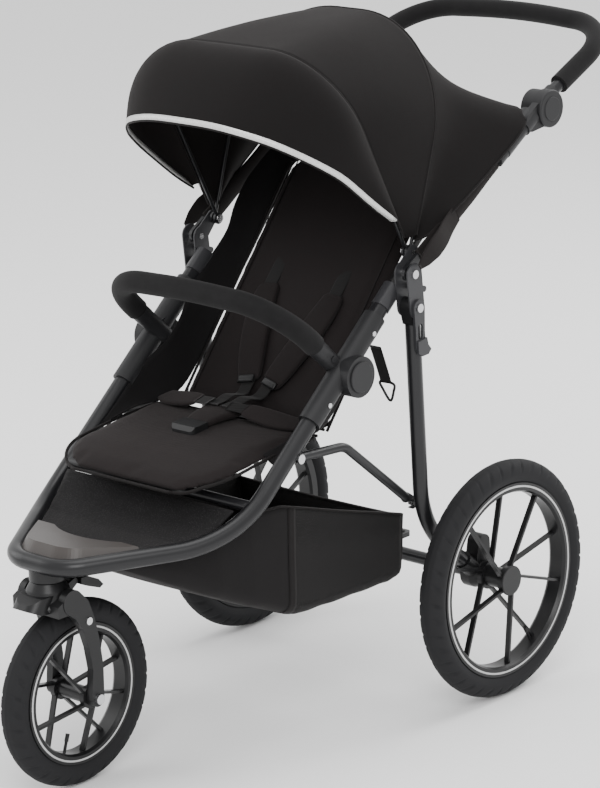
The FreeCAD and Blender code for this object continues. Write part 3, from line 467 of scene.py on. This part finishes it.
def arch(angle, half, low, top, bend, crown=4.0):
    """Points over a hoop, left to right, evenly spaced, in its plane through the pivot."""
    side = [(half, r) for r in np.linspace(low, top - bend, 12)]
    corner = [(half - bend + bend * math.cos(a), top - bend + bend * math.sin(a))
              for a in np.linspace(0, math.pi / 2, 24)[1:]]
    flat = [(x, top) for x in np.linspace(half - bend, 0, 8)[1:]]
    right = side + corner + flat
    both = right + [(-x, r) for x, r in reversed(right[:-1])]
    profile = spline([(x, r + crown * max(0.0, 1 - (x / half) ** 2)) for x, r in both], ROWS)
    out = []
    for x, r in profile:
        y, z = polar(CANOPY_PIVOT, angle, r)
        out.append(at(x, y, z))
    return np.array(out)


def hem_curve(right_points):
    """A symmetric hem from points on the left half, centre last."""
    right = [np.array(p, float) for p in right_points]
    left = [p * np.array([-1, 1, 1]) for p in reversed(right[:-1])]
    return np.array([at(*p) for p in spline(right + left, ROWS)])


def inward(points):
    """Unit vectors from a curve's points towards the inside of the canopy."""
    core = at(0, -110, 860)
    v = core - points
    return v / np.linalg.norm(v, axis=-1)[..., None]


def between(first, second, steps, bulge=0.0, waves=0.0, seed=0, skew=1.0):
    """Rows of points from one curve to another, with a bulge and soft tension folds."""
    rng = np.random.default_rng(seed)
    t = np.linspace(0, 1, steps)
    grid = first[None] * (1 - t)[:, None, None] + second[None] * t[:, None, None]
    push = -inward(grid)
    s = np.linspace(0, 1, first.shape[0])
    across = np.sin(math.pi * t ** skew)[:, None]
    along = np.sin(math.pi * s)[None, :]
    shift = bulge * across * (0.35 + 0.65 * along)
    for _ in range(5):
        phase, count = rng.uniform(0, 6.28), rng.uniform(2, 7)
        tilt = rng.uniform(-2.5, 2.5)
        wave = np.sin(6.28 * count * s[None, :] + phase + tilt * t[:, None])
        side = np.clip(np.abs(s[None, :] - 0.5) * 2.4 - 0.25, 0, 1)
        shift = shift + waves * wave * across * side * 0.45
    return grid + push * (shift * MM)[..., None]


# Each hoop's half-width, top radius and corner bend; the cloth starts this far from the pivot.
FRONT_HALF, FRONT_TOP, FRONT_BEND = 211.0, 369.5, 133.0
REAR_HALF, REAR_TOP, REAR_BEND = 218.5, 365.5, 190.0
PANEL_LOW, VISOR_LOW = 28.0, 72.0
CANOPY_CLOTH = 1.8

front_arch = arch(FRONT_ANGLE, FRONT_HALF, PANEL_LOW, FRONT_TOP, FRONT_BEND)
front_arch_visor = arch(FRONT_ANGLE, FRONT_HALF, VISOR_LOW, FRONT_TOP, FRONT_BEND)
rear_arch = arch(REAR_ANGLE, REAR_HALF, PANEL_LOW, REAR_TOP, REAR_BEND)
visor_hem = hem_curve([(213, -181, 826), (214, -212, 846), (214, -242, 868), (212, -292, 907),
                       (203, -322, 928), (184, -357, 951), (152, -390, 973), (110, -412, 987),
                       (60, -423, 995), (0, -427, 997)])
HANDLE_PIVOT = (-163.0, 741.0)
HANDLE_SLOPE = 32.7


def along_handle(x, radius, off=0.0):
    """X, Y and Z of a place on the handle's line, with off across it in its own plane."""
    y, z = polar(HANDLE_PIVOT, HANDLE_SLOPE, radius)
    return (x, *polar((y, z), HANDLE_SLOPE + 90, off))


rear_hem = hem_curve([(214, -126, 784), along_handle(226, 70, 14), along_handle(238, 130, 12),
                      along_handle(244, 200, 10), along_handle(247, 260, 9), along_handle(249, 310, 9),
                      along_handle(246, 342, 12), (226, 136, 952), (190, 132, 959), (100, 125, 957),
                      (0, 121, 955)])


visor_grid = between(front_arch_visor, visor_hem, 26, 27.0, 0.9, 4, 0.72)
middle_grid = between(rear_arch, front_arch, 30, 5.0, 1.6, 7)
rear_grid = between(rear_hem, rear_arch, 30, -20.0, 2.0, 11)
flap_top = hem_curve([(212, -58, 803), (213, 0, 829), (213, 48, 865), (211, 88, 905), (205, 113, 932),
                      (170, 123, 947), (100, 121, 952), (0, 118, 954)])
flap_low = hem_curve([(205, -60, 800), (200, 0, 822), (188, 40, 842), (160, 52, 852), (100, 50, 856),
                      (0, 48, 858)])
flap_grid = between(flap_low, flap_top, 18, 3.0, 2.5, 17)

visor = cloth_sheet("canopy_visor_cloth", visor_grid, FABRIC, CANOPY_CLOTH, LINING)
middle = cloth_sheet("canopy_middle_cloth", middle_grid, FABRIC, CANOPY_CLOTH, LINING)
rear = cloth_sheet("canopy_rear_cloth", rear_grid, FABRIC, CANOPY_CLOTH, LINING)
flap = cloth_sheet("canopy_rear_flap", flap_grid, FABRIC, 1.4)


def offset_curve(curve, mm):
    return curve - inward(curve) * mm * MM


def band(name, outer, inner, shader, thickness, offset):
    """A narrow strip between two curves, standing off the cloth."""
    grid = np.stack([offset_curve(outer, offset), offset_curve((outer + inner) / 2, offset),
                     offset_curve(inner, offset)])
    return cloth_sheet(name, grid, shader, thickness)


step = visor_grid[-2] - visor_hem
gap = np.linalg.norm(step, axis=1)[:, None]
stripe_inner = visor_hem + step / gap * 0.0105
stripe_outer = visor_hem + step / gap * 0.0012
stripe = band("canopy_reflective_stripe", stripe_outer, stripe_inner, TAPE, 3.4, 0.0)
hem_edge = tube("canopy_front_piping", visor_hem, 1.7 * MM, PIPING, 8)
front_seam = tube("canopy_front_seam", offset_curve(front_arch, 0.6), 1.9 * MM, PIPING, 8)
rear_seam = tube("canopy_rear_seam", offset_curve(rear_arch, 0.6), 1.9 * MM, PIPING, 8)
rear_binding = tube("canopy_rear_binding", rear_hem, 2.4 * MM, PIPING, 8, flat=0.7)
front_stitch = tube("canopy_front_stitch", offset_curve(
    front_arch + (visor_grid[3] - visor_grid[0]) * 0.25, 0.9), 0.5 * MM, PIPING, 6)

for obj in (visor, stripe, hem_edge, front_stitch):
    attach(obj, "canopy_front")
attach(front_seam, "canopy_front")
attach(rear_seam, "frame")
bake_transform(middle)
for obj in (rear, rear_binding):
    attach(obj, "frame")
    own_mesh(obj)
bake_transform(flap)
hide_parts("canopy_visor")
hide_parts("canopy_middle_panel")
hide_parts("canopy_rear_panel")


# ---- padded seat ---------------------------------------------------------------------------------
def pillow(name, outline, frame_at, thickness, crown, shader, rings=14, edge=5.0, channels=None):
    """A crowned pad: outline is a closed curve (u, v) in mm, frame_at maps (u, v, height) to a place."""
    outline = np.array(outline, float)
    centre = outline.mean(0)
    n = len(outline)
    points, faces = [], []
    for side in (1, -1):
        start = len(points)
        for r in range(rings):
            shrink = r / (rings - 1)
            ring = centre + (outline - centre) * (1 - shrink)
            rise = (1 - (1 - shrink) ** 4) ** 0.5
            for u, v in ring:
                h = edge / 2 + (thickness / 2 - edge / 2) * rise
                if channels:
                    h -= channels(u, v) * rise
                h += crown * (1 - (1 - shrink) ** 2)
                points.append(frame_at(u, v, side * h))
        faces += [f if side > 0 else f[::-1] for f in grid_faces(rings, n, False, True, start)]
    for k in range(n):
        a, b = k, (k + 1) % n
        c, d = rings * n + (k + 1) % n, rings * n + k
        faces.append((a, b, c, d)[::-1])
    obj = piece(name, points, faces, shader)
    bm = bmesh.new()
    bm.from_mesh(obj.data)
    bmesh.ops.remove_doubles(bm, verts=bm.verts, dist=1e-6)
    bmesh.ops.recalc_face_normals(bm, faces=bm.faces)
    bm.to_mesh(obj.data)
    bm.free()
    return obj


def swell(obj, voxel=6.0, cap=7.0, pressure=4.0, frames=20):
    """Fills a pad out by a short cloth simulation, with a cap on how far each point moves."""
    add_modifier(obj, "REMESH", mode="VOXEL", voxel_size=voxel * MM)
    bake(obj)
    rest = np.array([v.co for v in obj.data.vertices])
    mod = obj.modifiers.new("cloth", "CLOTH")
    mod.settings.use_pressure = True
    mod.settings.uniform_pressure_force = pressure
    mod.settings.effector_weights.gravity = 0.0
    mod.settings.quality = 4
    mod.settings.mass = 0.3
    mod.settings.tension_stiffness = 25
    mod.settings.compression_stiffness = 25
    mod.settings.bending_stiffness = 2.0
    mod.point_cache.frame_start, mod.point_cache.frame_end = 1, frames
    scene = bpy.context.scene
    for f in range(1, frames + 1):
        scene.frame_set(f)
    dg = bpy.context.evaluated_depsgraph_get()
    mesh = obj.evaluated_get(dg).data
    moved = np.array([v.co for v in mesh.vertices])
    obj.modifiers.clear()
    scene.frame_set(1)
    delta = moved - rest
    length = np.linalg.norm(delta, axis=1)
    scale = np.minimum(1.0, cap * MM / np.maximum(length, 1e-9))
    final = rest + delta * scale[:, None]
    obj.data.vertices.foreach_set("co", final.astype(np.float32).ravel())
    add_modifier(obj, "SMOOTH", iterations=3, factor=0.4)
    add_modifier(obj, "SUBSURF", levels=1, render_levels=1)
    bake(obj)


def rounded_outline(half, v0, v1, r_front, r_rear, count=120, bow=0.0):
    """Closed outline of a rounded rectangle, mirror-symmetric in u; v0 is the front edge."""
    pts = []
    for a in np.linspace(-90, 0, 12):
        pts.append((half - r_front + r_front * math.cos(math.radians(a)),
                    v0 + r_front + r_front * math.sin(math.radians(a))))
    for a in np.linspace(0, 90, 12):
        pts.append((half - r_rear + r_rear * math.cos(math.radians(a)),
                    v1 - r_rear + r_rear * math.sin(math.radians(a))))
    pts += [(-u, v) for u, v in reversed(pts)]
    pts = [(u, v - bow * max(0.0, 1 - (u / half) ** 2) * (v < (v0 + v1) / 2)) for u, v in pts]
    return spline(pts, count, True)


SEAT_PROFILE = [(-578, 463), (-560, 472), (-520, 481), (-470, 488), (-430, 493), (-390, 496),
                (-350, 498), (-300, 499)]


def seat_at(u, v, h):
    """Middle surface of the seat: rises from the drooping front edge to the back."""
    ys, zs = zip(*SEAT_PROFILE)
    z = np.interp(v, ys, zs)
    return at(u, v, z + h)


def ditch(value, centre, width, depth):
    return depth * math.exp(-((value - centre) / width) ** 2)


seat = pillow("seat_pad", rounded_outline(170, -578, -317, 78, 26, bow=9.0), seat_at, 16.0, 2.5,
              SEAT_CLOTH)
swell(seat, 6.0, 5.0)
seat_rim = tube("seat_piping", [seat_at(u, v, 0.0) for u, v in
                                rounded_outline(172.5, -581, -315, 80, 26, 160, bow=9.0)],
                2.6 * MM, PIPING, 10, True)
for obj in (seat, seat_rim):
    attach(obj, "frame")
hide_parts("seat_cushion")

BACK_PIVOT = (-292.0, 486.0)
BACK_ANGLE = 51.0
BACK_SEAM = 134.0


def back_at(u, s, h):
    """A place on the reclining back: s up the back, h out of its middle plane to the front."""
    a = math.radians(BACK_ANGLE)
    return at(u, BACK_PIVOT[0] + s * math.cos(a) - h * math.sin(a),
              BACK_PIVOT[1] + s * math.sin(a) + h * math.cos(a))


back = pillow("back_pad", rounded_outline(156, 18, 494, 24, 62), back_at, 19.0, 2.0, SEAT_CLOTH,
              channels=lambda u, v: ditch(abs(u), BACK_SEAM, 5, 4.0))
swell(back, 6.0, 4.0)
back_rim = tube("back_piping", [back_at(u, s, 0.0) for u, s in
                                rounded_outline(158.5, 16, 497, 25, 63, 200)], 2.4 * MM, PIPING, 10, True)
back_seams = [tube("back_seam_" + tag, [back_at(x, s, 11.0) for s in np.linspace(30, 470, 60)],
                   1.0 * MM, PIPING, 8) for tag, x in (("left", BACK_SEAM), ("right", -BACK_SEAM))]


def strap(name, centres, widths, thick, shader, normal_of):
    """A flat strap along centres (places), with a width at each and rounded long edges."""
    centres = np.array(centres)
    n = len(centres)
    tangent = np.gradient(centres, axis=0)
    tangent /= np.linalg.norm(tangent, axis=1)[:, None]
    points = []
    sides = 16
    for i in range(n):
        normal = np.array(normal_of(i), float)
        normal -= tangent[i] * normal.dot(tangent[i])
        normal /= np.linalg.norm(normal)
        across = np.cross(tangent[i], normal)
        for k in range(sides):
            a = 2 * math.pi * k / sides
            cx, cy = math.cos(a), math.sin(a)
            u = math.copysign(abs(cx) ** 0.35, cx) * widths[i] / 2
            h = math.copysign(abs(cy) ** 0.6, cy) * thick[i] / 2
            points.append(centres[i] + across * u * MM + normal * h * MM)
    faces = grid_faces(n, sides, False, True)
    faces.append(tuple(range(sides))[::-1])
    faces.append(tuple((n - 1) * sides + k for k in range(sides)))
    obj = piece(name, points, faces, shader)
    return obj


BACK_NORMAL = np.array([0, -math.sin(math.radians(BACK_ANGLE)), math.cos(math.radians(BACK_ANGLE))])


def bulged(count, width, end=0.55):
    """Widths of a pad with rounded ends."""
    t = np.linspace(0, 1, count)
    return width * (end + (1 - end) * np.clip(np.sin(math.pi * t) ** 0.35, 0, 1))


def pad_edge(line, width, end):
    """Closed curve round the edge of a shoulder pad."""
    tangent = np.gradient(line, axis=0)
    tangent /= np.linalg.norm(tangent, axis=1)[:, None]
    across = np.cross(tangent, BACK_NORMAL)
    half = bulged(len(line), width, end)[:, None] / 2 * MM
    return np.concatenate([line + across * half, (line - across * half)[::-1]])


# Routes up the back: how far out, how far up and how high over its middle plane.
SHOULDER_PAD_ROUTE = [(70, 236, 15.5), (66, 200, 18.5), (56, 160, 19.5), (41, 112, 19.0), (22, 64, 17.5)]
UPPER_STRAP_ROUTE = [(338, 5.0), (328, 11.0), (300, 13.0), (262, 14.5), (226, 17.0)]
STRAP_SLOT_X = 70
STRAP_WIDTH = 24.0
PAD_WIDTH, PAD_END = 52.0, 0.62

for tag, side in SIDES:
    pad_line = spline([back_at(side * u, v, h) for u, v, h in SHOULDER_PAD_ROUTE], 30)
    pad = strap("shoulder_pad_" + tag, pad_line, bulged(30, PAD_WIDTH, PAD_END), bulged(30, 12.0, 0.5),
                SEAT_CLOTH,
                lambda i: BACK_NORMAL)
    pad_hem = tube("shoulder_pad_piping_" + tag, pad_edge(pad_line, PAD_WIDTH, PAD_END), 1.3 * MM, PIPING, 8,
                   True)
    upper = [back_at(side * STRAP_SLOT_X, v, h) for v, h in UPPER_STRAP_ROUTE]
    top = strap("shoulder_strap_" + tag, spline(upper, 24), [26.0] * 24, [2.4] * 24, WEBBING,
                lambda i: BACK_NORMAL)
    slot_rim = tube("strap_slot_" + tag, spline([back_at(side * STRAP_SLOT_X + u, v, 11.5) for u, v in
                    ((-17, 328), (-14, 333), (14, 333), (17, 328), (14, 323), (-14, 323))], 40, True),
                    1.4 * MM, PIPING, 8, True)
    lower = [back_at(side * 22, 72, 19.5), back_at(side * 20, 54, 21), back_at(side * 18, 36, 27),
             at(side * 17, -318, 536), at(side * 16, -340, 532), at(side * 15, -362, 531)]
    low = strap("lap_strap_" + tag, spline(lower, 30), [STRAP_WIDTH] * 30, [2.0] * 30, WEBBING,
                lambda i: BACK_NORMAL)
    slider = strap("strap_slider_" + tag, [back_at(side * u, v, 24.0) for u, v in
                   ((24.0, 58), (25.0, 62), (26.0, 66), (27.0, 70))],
                   [31.0] * 4, [5.0] * 4, BLACK_PLASTIC, lambda i: BACK_NORMAL)
    hip = [at(side * 150, -330, 517), at(side * 122, -343, 520), at(side * 86, -350, 525),
           at(side * 50, -354, 531), at(side * 20, -360, 534)]
    hip_strap = strap("hip_strap_" + tag, spline(hip, 30), [STRAP_WIDTH] * 30, [2.0] * 30, WEBBING,
                      lambda i: (0, -0.3, 1))
    hip_pad = strap("hip_pad_" + tag, spline(hip[:4], 24), bulged(24, 40.0), bulged(24, 9.0, 0.5),
                    SEAT_CLOTH, lambda i: (0, -0.3, 1))
    if side > 0:
        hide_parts("shoulder_straps")
    for obj in (pad, pad_hem, top, slot_rim, slider):
        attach(obj, "backrest")
    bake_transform(low)
    for obj in (hip_strap, hip_pad):
        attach(obj, "frame")

crotch = strap("crotch_pad", spline([at(0, -308, 519), at(0, -330, 521), at(0, -360, 521), at(0, -390, 519),
                                     at(0, -418, 514)], 26),
               np.linspace(88, 50, 26) * bulged(26, 1.0, 0.82), bulged(26, 13.0, 0.6), SEAT_CLOTH,
               lambda i: (0, 0.05, 1))
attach(crotch, "frame")
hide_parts("crotch_strap")

for obj in [back, back_rim] + back_seams:
    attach(obj, "backrest")
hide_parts("backrest")


# ---- side wings ----------------------------------------------------------------------------------
def wing_grid(side):
    """Cloth between the side tube and the back, joined to the seat below."""
    outer = [(189, -440, 488), (188, -400, 519), (186, -345, 566), (175, -300, 596), (175, -265, 628),
             (186, -225, 668), (189, -176, 709), (190, -130, 748), (199, -100, 784), (208, -60, 818),
             (209, -20, 846), (208, 24, 874)]
    inner = [(166, -440, 500), (166, -380, 507), (165, -318, 504), (160, -270, 524),
             (160, -200, 600), (160, -120, 690), (160, -50, 772), (158, 0, 836), (157, 18, 866)]
    a = spline([(side * x, y, z) for x, y, z in outer], 50)
    b = spline([(side * x, y, z) for x, y, z in inner], 50)
    rows = []
    for t in np.linspace(0, 1, 12):
        row = a * (1 - t) + b * t
        row = row + np.array([0, 0.35, -0.8]) * 10.0 * math.sin(math.pi * t)
        rows.append([at(*p) for p in row])
    return np.array(rows)


for tag, side in SIDES:
    wing = cloth_sheet("side_wing_" + tag, wing_grid(side), WING_CLOTH, 1.6)
    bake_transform(wing)
    wing_grid(side)
    if side > 0:
        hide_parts("side_panels")


# ---- basket --------------------------------------------------------------------------------------
BASKET_FRONT_Y, BASKET_SEAM_Y, BASKET_REAR_Y = -690, -395, -131
BASKET_POINTS = 61


def basket_section(y):
    """Half-width, floor height and hem height of the basket at a place along the stroller."""
    half = np.interp(y, [-690, -650, -600, -540, -480, -420, -340, -131],
                     [88, 113, 141, 165, 176, 180, 180, 180])
    floor = np.interp(y, [-690, -560, -470, -378, -340, -250, -150, -131],
                      [366, 298, 256, 217, 213, 210, 208, 210])
    hem = np.interp(y, [-690, -600, -520, -460, -420, -360, -300, -240, -180, -131],
                    [372, 381, 402, 414, 412, 394, 375, 357, 340, 325])
    return half, floor, max(hem, floor + 6)


def basket_grid(y0, y1, steps, sag=4.0):
    rows = []
    for y in np.linspace(y0, y1, steps):
        half, floor, hem = basket_section(y)
        r = min(22.0, (hem - floor) * 0.45)
        low = half - 7.0
        right = [(half, hem), (half - 2, floor + (hem - floor) * 0.55), (low + 4, floor + r),
                 (low - r * 0.3, floor + r * 0.28), (low - r, floor), (low * 0.5, floor - sag * 0.7),
                 (0, floor - sag)]
        both = right + [(-x, z) for x, z in reversed(right[:-1])]
        rows.append([at(x, y, z) for x, z in spline(both, BASKET_POINTS)])
    return np.array(rows)


def basket_back_grid():
    half, floor, hem = basket_section(BASKET_REAR_Y)
    rim = basket_grid(BASKET_REAR_Y, BASKET_REAR_Y + 0.1, 2)[0]
    top = rim.copy()
    top[:, 2] = at(0, 0, hem)[2] - 0.006 * np.sin(math.pi * np.linspace(0, 1, BASKET_POINTS))
    return np.array([rim * (1 - t) + top * t + np.array([0, 0.004 * math.sin(math.pi * t), 0])
                     for t in np.linspace(0, 1, 12)])


front_rows = basket_grid(BASKET_FRONT_Y, BASKET_SEAM_Y, 40)
net_rows = basket_grid(BASKET_SEAM_Y, BASKET_REAR_Y, 40)
front_cloth = cloth_sheet("basket_front_cloth", front_rows, BASKET_CLOTH, 1.6)
rear_net = cloth_sheet("basket_net", net_rows, NET, 1.2)
back_net = cloth_sheet("basket_back_net", basket_back_grid(), NET, 1.2)
band_grid = basket_grid(-404, -388, 4)
core = at(0, BASKET_SEAM_Y, 330)
away = band_grid - core
band_grid = band_grid + away / np.linalg.norm(away, axis=2)[..., None] * 1.6 * MM
seam_band = cloth_sheet("basket_seam_band", band_grid, PIPING, 1.4)
hem_line = [basket_grid(y, y + 0.1, 2)[0] for y in np.linspace(BASKET_FRONT_Y + 2, BASKET_REAR_Y, 70)]
back_hem = basket_back_grid()[-1]
hem_path = [row[0] for row in hem_line] + list(back_hem[1:-1]) + [row[-1] for row in reversed(hem_line)]
hem_tube = tube("basket_hem", hem_path, 3.2 * MM, PIPING, 10, flat=0.6)
basket_rows = np.concatenate([front_rows, net_rows[1:]])
basket_all = joined("basket_cloth", [front_cloth, rear_net, back_net, seam_band, hem_tube])
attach(basket_all, "frame")
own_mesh(basket_all)
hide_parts("basket")
area_of(basket_rows) + area_of(basket_back_grid())


# ---- footrest ------------------------------------------------------------------------------------
def footrest_grid():
    lo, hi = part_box("footrest_panel")
    rows = []
    for y in np.linspace(lo.y + 0.002, hi.y - 0.001, 46):
        half = np.interp(y, *zip(*FOOT_EDGE))
        z = np.interp(y, *zip(*FOOT_RISE))
        sag = 0.003 * math.sin(math.pi * (y - lo.y) / (hi.y - lo.y))
        rows.append([(u * half, y, z - sag * (1 - u * u)) for u in np.linspace(-1, 1, 40)])
    return np.array(rows)


def cad_half_width(node, y):
    """Half-width of a CAD node at a place along Y, from the edges that cross it."""
    mesh = NODES[node].data
    best = 0.0
    for edge in mesh.edges:
        a, b = (mesh.vertices[i].co for i in edge.vertices)
        if (a.y - y) * (b.y - y) <= 0 and abs(a.y - b.y) > 1e-9:
            t = (y - a.y) / (b.y - a.y)
            best = max(best, abs(a.x + (b.x - a.x) * t))
    return best


foot_lo, foot_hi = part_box("footrest_panel")
foot_ys = np.linspace(foot_lo.y + 0.002, foot_hi.y - 0.001, 24)
FOOT_EDGE = [(y, cad_half_width("footrest_panel", y)) for y in foot_ys]
FOOT_RISE = [(AXLE_Y + y * MM, z * MM) for y, z in
             ((-775, 383), (-665, 386), (-602, 391), (-562, 405), (-525, 434))]
foot = cloth_sheet("footrest_cloth", footrest_grid(), FOOT_CLOTH, 2.6)
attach(foot, "frame")
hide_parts("footrest_panel")


# ---- wheels --------------------------------------------------------------------------------------
def tyre_mesh(name, centre, radius, section, lugs):
    """Tyre with a fine centre rib and wavy grooves across each shoulder."""
    around, ring = 900, 40
    open_half = math.radians(38)
    phi = np.linspace(-math.pi / 2 + open_half, 1.5 * math.pi - open_half, ring)
    theta = np.linspace(0, 2 * math.pi, around, endpoint=False)
    th, ph = np.meshgrid(theta, phi, indexing="ij")
    height = np.sin(ph)
    lean = np.cos(ph)
    shoulder = np.exp(-((height - 0.52) / 0.3) ** 2)
    zig = 0.55 * np.sin(lugs * th / 2 + np.sign(lean) * 0.8)
    wavy = np.cos(lugs * th + 3.2 * height + zig)
    groove = np.clip((wavy - 0.72) / 0.2, 0, 1) * shoulder
    centre_line = np.exp(-((np.abs(lean) - 0.17) / 0.05) ** 2) * (height > 0.7)
    side_rib = np.exp(-((height + 0.12) / 0.05) ** 2)
    r = section - 2.1 * groove - 0.9 * centre_line + 0.3 * side_rib - 0.35
    x = centre[0] + r * np.cos(ph)
    rho = radius - section + r * np.sin(ph)
    y = centre[1] + rho * np.cos(th)
    z = centre[2] + rho * np.sin(th)
    points = np.stack([x * MM, y * MM + AXLE_Y, z * MM], -1).reshape(-1, 3)
    return piece(name, points, grid_faces(around, ring, True, False), TYRE)


def ring_line(name, centre, x, radius, width, shader):
    """A thin flat ring on the rim's outer face."""
    around = 160
    points, faces = [], []
    for k in range(around):
        a = 2 * math.pi * k / around
        for r, dx in ((radius - width / 2, 0.0), (radius - width / 2 + 0.4, 0.5),
                      (radius + width / 2 - 0.4, 0.5), (radius + width / 2, 0.0)):
            side = math.copysign(1, x) if x else 1
            points.append(at(centre[0] + x + side * dx, centre[1] + r * math.cos(a),
                             centre[2] + r * math.sin(a)))
    return piece(name, points, grid_faces(around, 4, True, False), shader)


def valve(name, centre, rim_r, x_side, angle):
    """Valve stem that stands out of the rim bed towards the hub."""
    parts = []
    a = math.radians(angle)
    direction = np.array([0, math.cos(a), math.sin(a)])
    origin = np.array([centre[0], centre[1], centre[2]])
    for r0, r1, radius, shader in ((rim_r + 1, rim_r - 20, 2.6, BLACK_PLASTIC),
                                   (rim_r - 19, rim_r - 31, 3.4, BLACK_PLASTIC)):
        path = [at(*(origin + direction * r + np.array([x_side, 0, 0])))
                for r in np.linspace(r0, r1, 6)]
        parts.append(tube(name + "_stem", path, radius * MM, shader, 12, up=(1, 0, 0)))
    return joined(name, parts)


RIM_LINE_X, RIM_LINE_WIDTH = 17.0, 3.2
TYRE_SECTION = 21.5
WHEELS = [("rear_wheel_left", "rear_tyre_left", (282.5, 0.0, 200.0), 200.0, TYRE_SECTION, 44, (1,)),
          ("rear_wheel_right", "rear_tyre_right", (-282.5, 0.0, 200.0), 200.0, TYRE_SECTION, 44, (-1,)),
          ("front_wheel", "front_tyre", (0.0, -706.0, 150.0), 150.0, TYRE_SECTION, 34, (1, -1))]
for body, node, centre, radius, section, lugs, outer_sides in WHEELS:
    tyre = tyre_mesh(body + "_tyre", centre, radius, section, lugs)
    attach(tyre, body)
    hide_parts(node)
    lip = radius - section - 15.5
    for side in outer_sides:
        tag = "_left" if side > 0 else "_right"
        line = ring_line(body + "_rim_line" + tag, centre, side * RIM_LINE_X, lip - 6.0, RIM_LINE_WIDTH,
                         RIM_LINE)
        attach(line, body)
    stem = valve(body + "_valve", centre, lip - 15.0, 0.0, 252.0 if body == "front_wheel" else 300.0)
    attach(stem, body)


# ---- hanging recline strap -----------------------------------------------------------------------
loop_path = spline([at(150, -152, 607), at(150, -142, 582), at(151, -134, 558), at(152, -129, 541)], 16)
recline_web = strap("recline_webbing", loop_path, [24.0] * 16, [2.2] * 16, WEBBING,
                    lambda i: (0, 0.9, 0.45))
tri = [at(152 + u, -128 + w * 0.25, 543 - w) for u, w in ((-14, 2), (14, 2), (11, 16), (0, 34), (-11, 16))]
ring = tube("recline_ring", spline(tri, 40, True), 2.2 * MM, BLACK_PLASTIC, 10, True, up=(0, 1, 0.2))
for obj in (recline_web, ring):
    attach(obj, "backrest")
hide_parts("recline_strap")


# ---- cloth sleeves on the handle bars --------------------------------------------------------------
LINK_X = 231.0
for tag, side in SIDES:
    line = [at(*along_handle(side * LINK_X, r, 0.5 * math.sin(r / 17.0))) for r in np.linspace(34, 262, 60)]
    sleeve = tube("handle_sleeve_" + tag, line, 16.0 * MM, FABRIC, 20, flat=0.36, up=(1, 0, 0))
    cover_line = spline([at(*along_handle(side * x, r, off)) for x, r, off in
                         ((254.5, 8, 10), (254.5, 28, 10), (254, 52, 9), (250, 78, 6), (241, 110, 3),
                          (235, 140, 0))], 30)
    cover_widths = np.interp(range(30), (0, 4, 10, 18, 29), (10, 27, 38, 38, 30))
    cover = strap("handle_hinge_cover_" + tag, cover_line, cover_widths, [3.0] * 30, FABRIC,
                  lambda i: (1, 0, 0))
    for obj in (sleeve, cover):
        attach(obj, "handle")


# ---- stage ---------------------------------------------------------------------------------------
LIGHTS = [("key", (2.6, -3.0, 3.2), 2.2, 100), ("fill", (-3.4, -1.6, 2.2), 2.6, 45),
          ("rim", (0.6, 3.2, 2.8), 2.2, 80), ("top", (0.0, 0.0, 4.2), 2.4, 60)]


def studio():
    floor = piece("studio_floor", [(-30, -30, 0), (30, -30, 0), (30, 30, 0), (-30, 30, 0)],
                  [(0, 1, 2, 3)], Shader("floor_paint", (0.95, 0.95, 0.95), 0.9), False)
    world = bpy.data.worlds.new("studio_world")
    world.use_nodes = True
    world.node_tree.nodes["Background"].inputs["Color"].default_value = (1, 1, 1, 1)
    world.node_tree.nodes["Background"].inputs["Strength"].default_value = 1.25
    bpy.context.scene.world = world
    for name, place, size, power in LIGHTS:
        light = bpy.data.lights.new("light_" + name, "AREA")
        light.size, light.energy = size, power
        lamp = bpy.data.objects.new("light_" + name, light)
        bpy.context.scene.collection.objects.link(lamp)
        lamp.location = place
        lamp.rotation_euler = (Vector((0, 0, 0.5)) - Vector(place)).to_track_quat("-Z", "Y").to_euler()


def camera():
    data = bpy.data.cameras.new("camera")
    data.lens = 148.98
    data.sensor_width = 36.0
    cam = bpy.data.objects.new("camera", data)
    bpy.context.scene.collection.objects.link(cam)
    right = (0.74484396, 0.66667315, -0.02746609)
    up = (-0.16214951, 0.22078521, 0.96174915)
    back_axis = (0.64723644, -0.71189943, 0.27255126)
    turn = Matrix((right, up, back_axis)).transposed()
    cam.matrix_world = Matrix.Translation(Vector(at(3454.596, -3968.994, 1960.643))) @ turn.to_4x4()
    bpy.context.scene.camera = cam


studio()
camera()
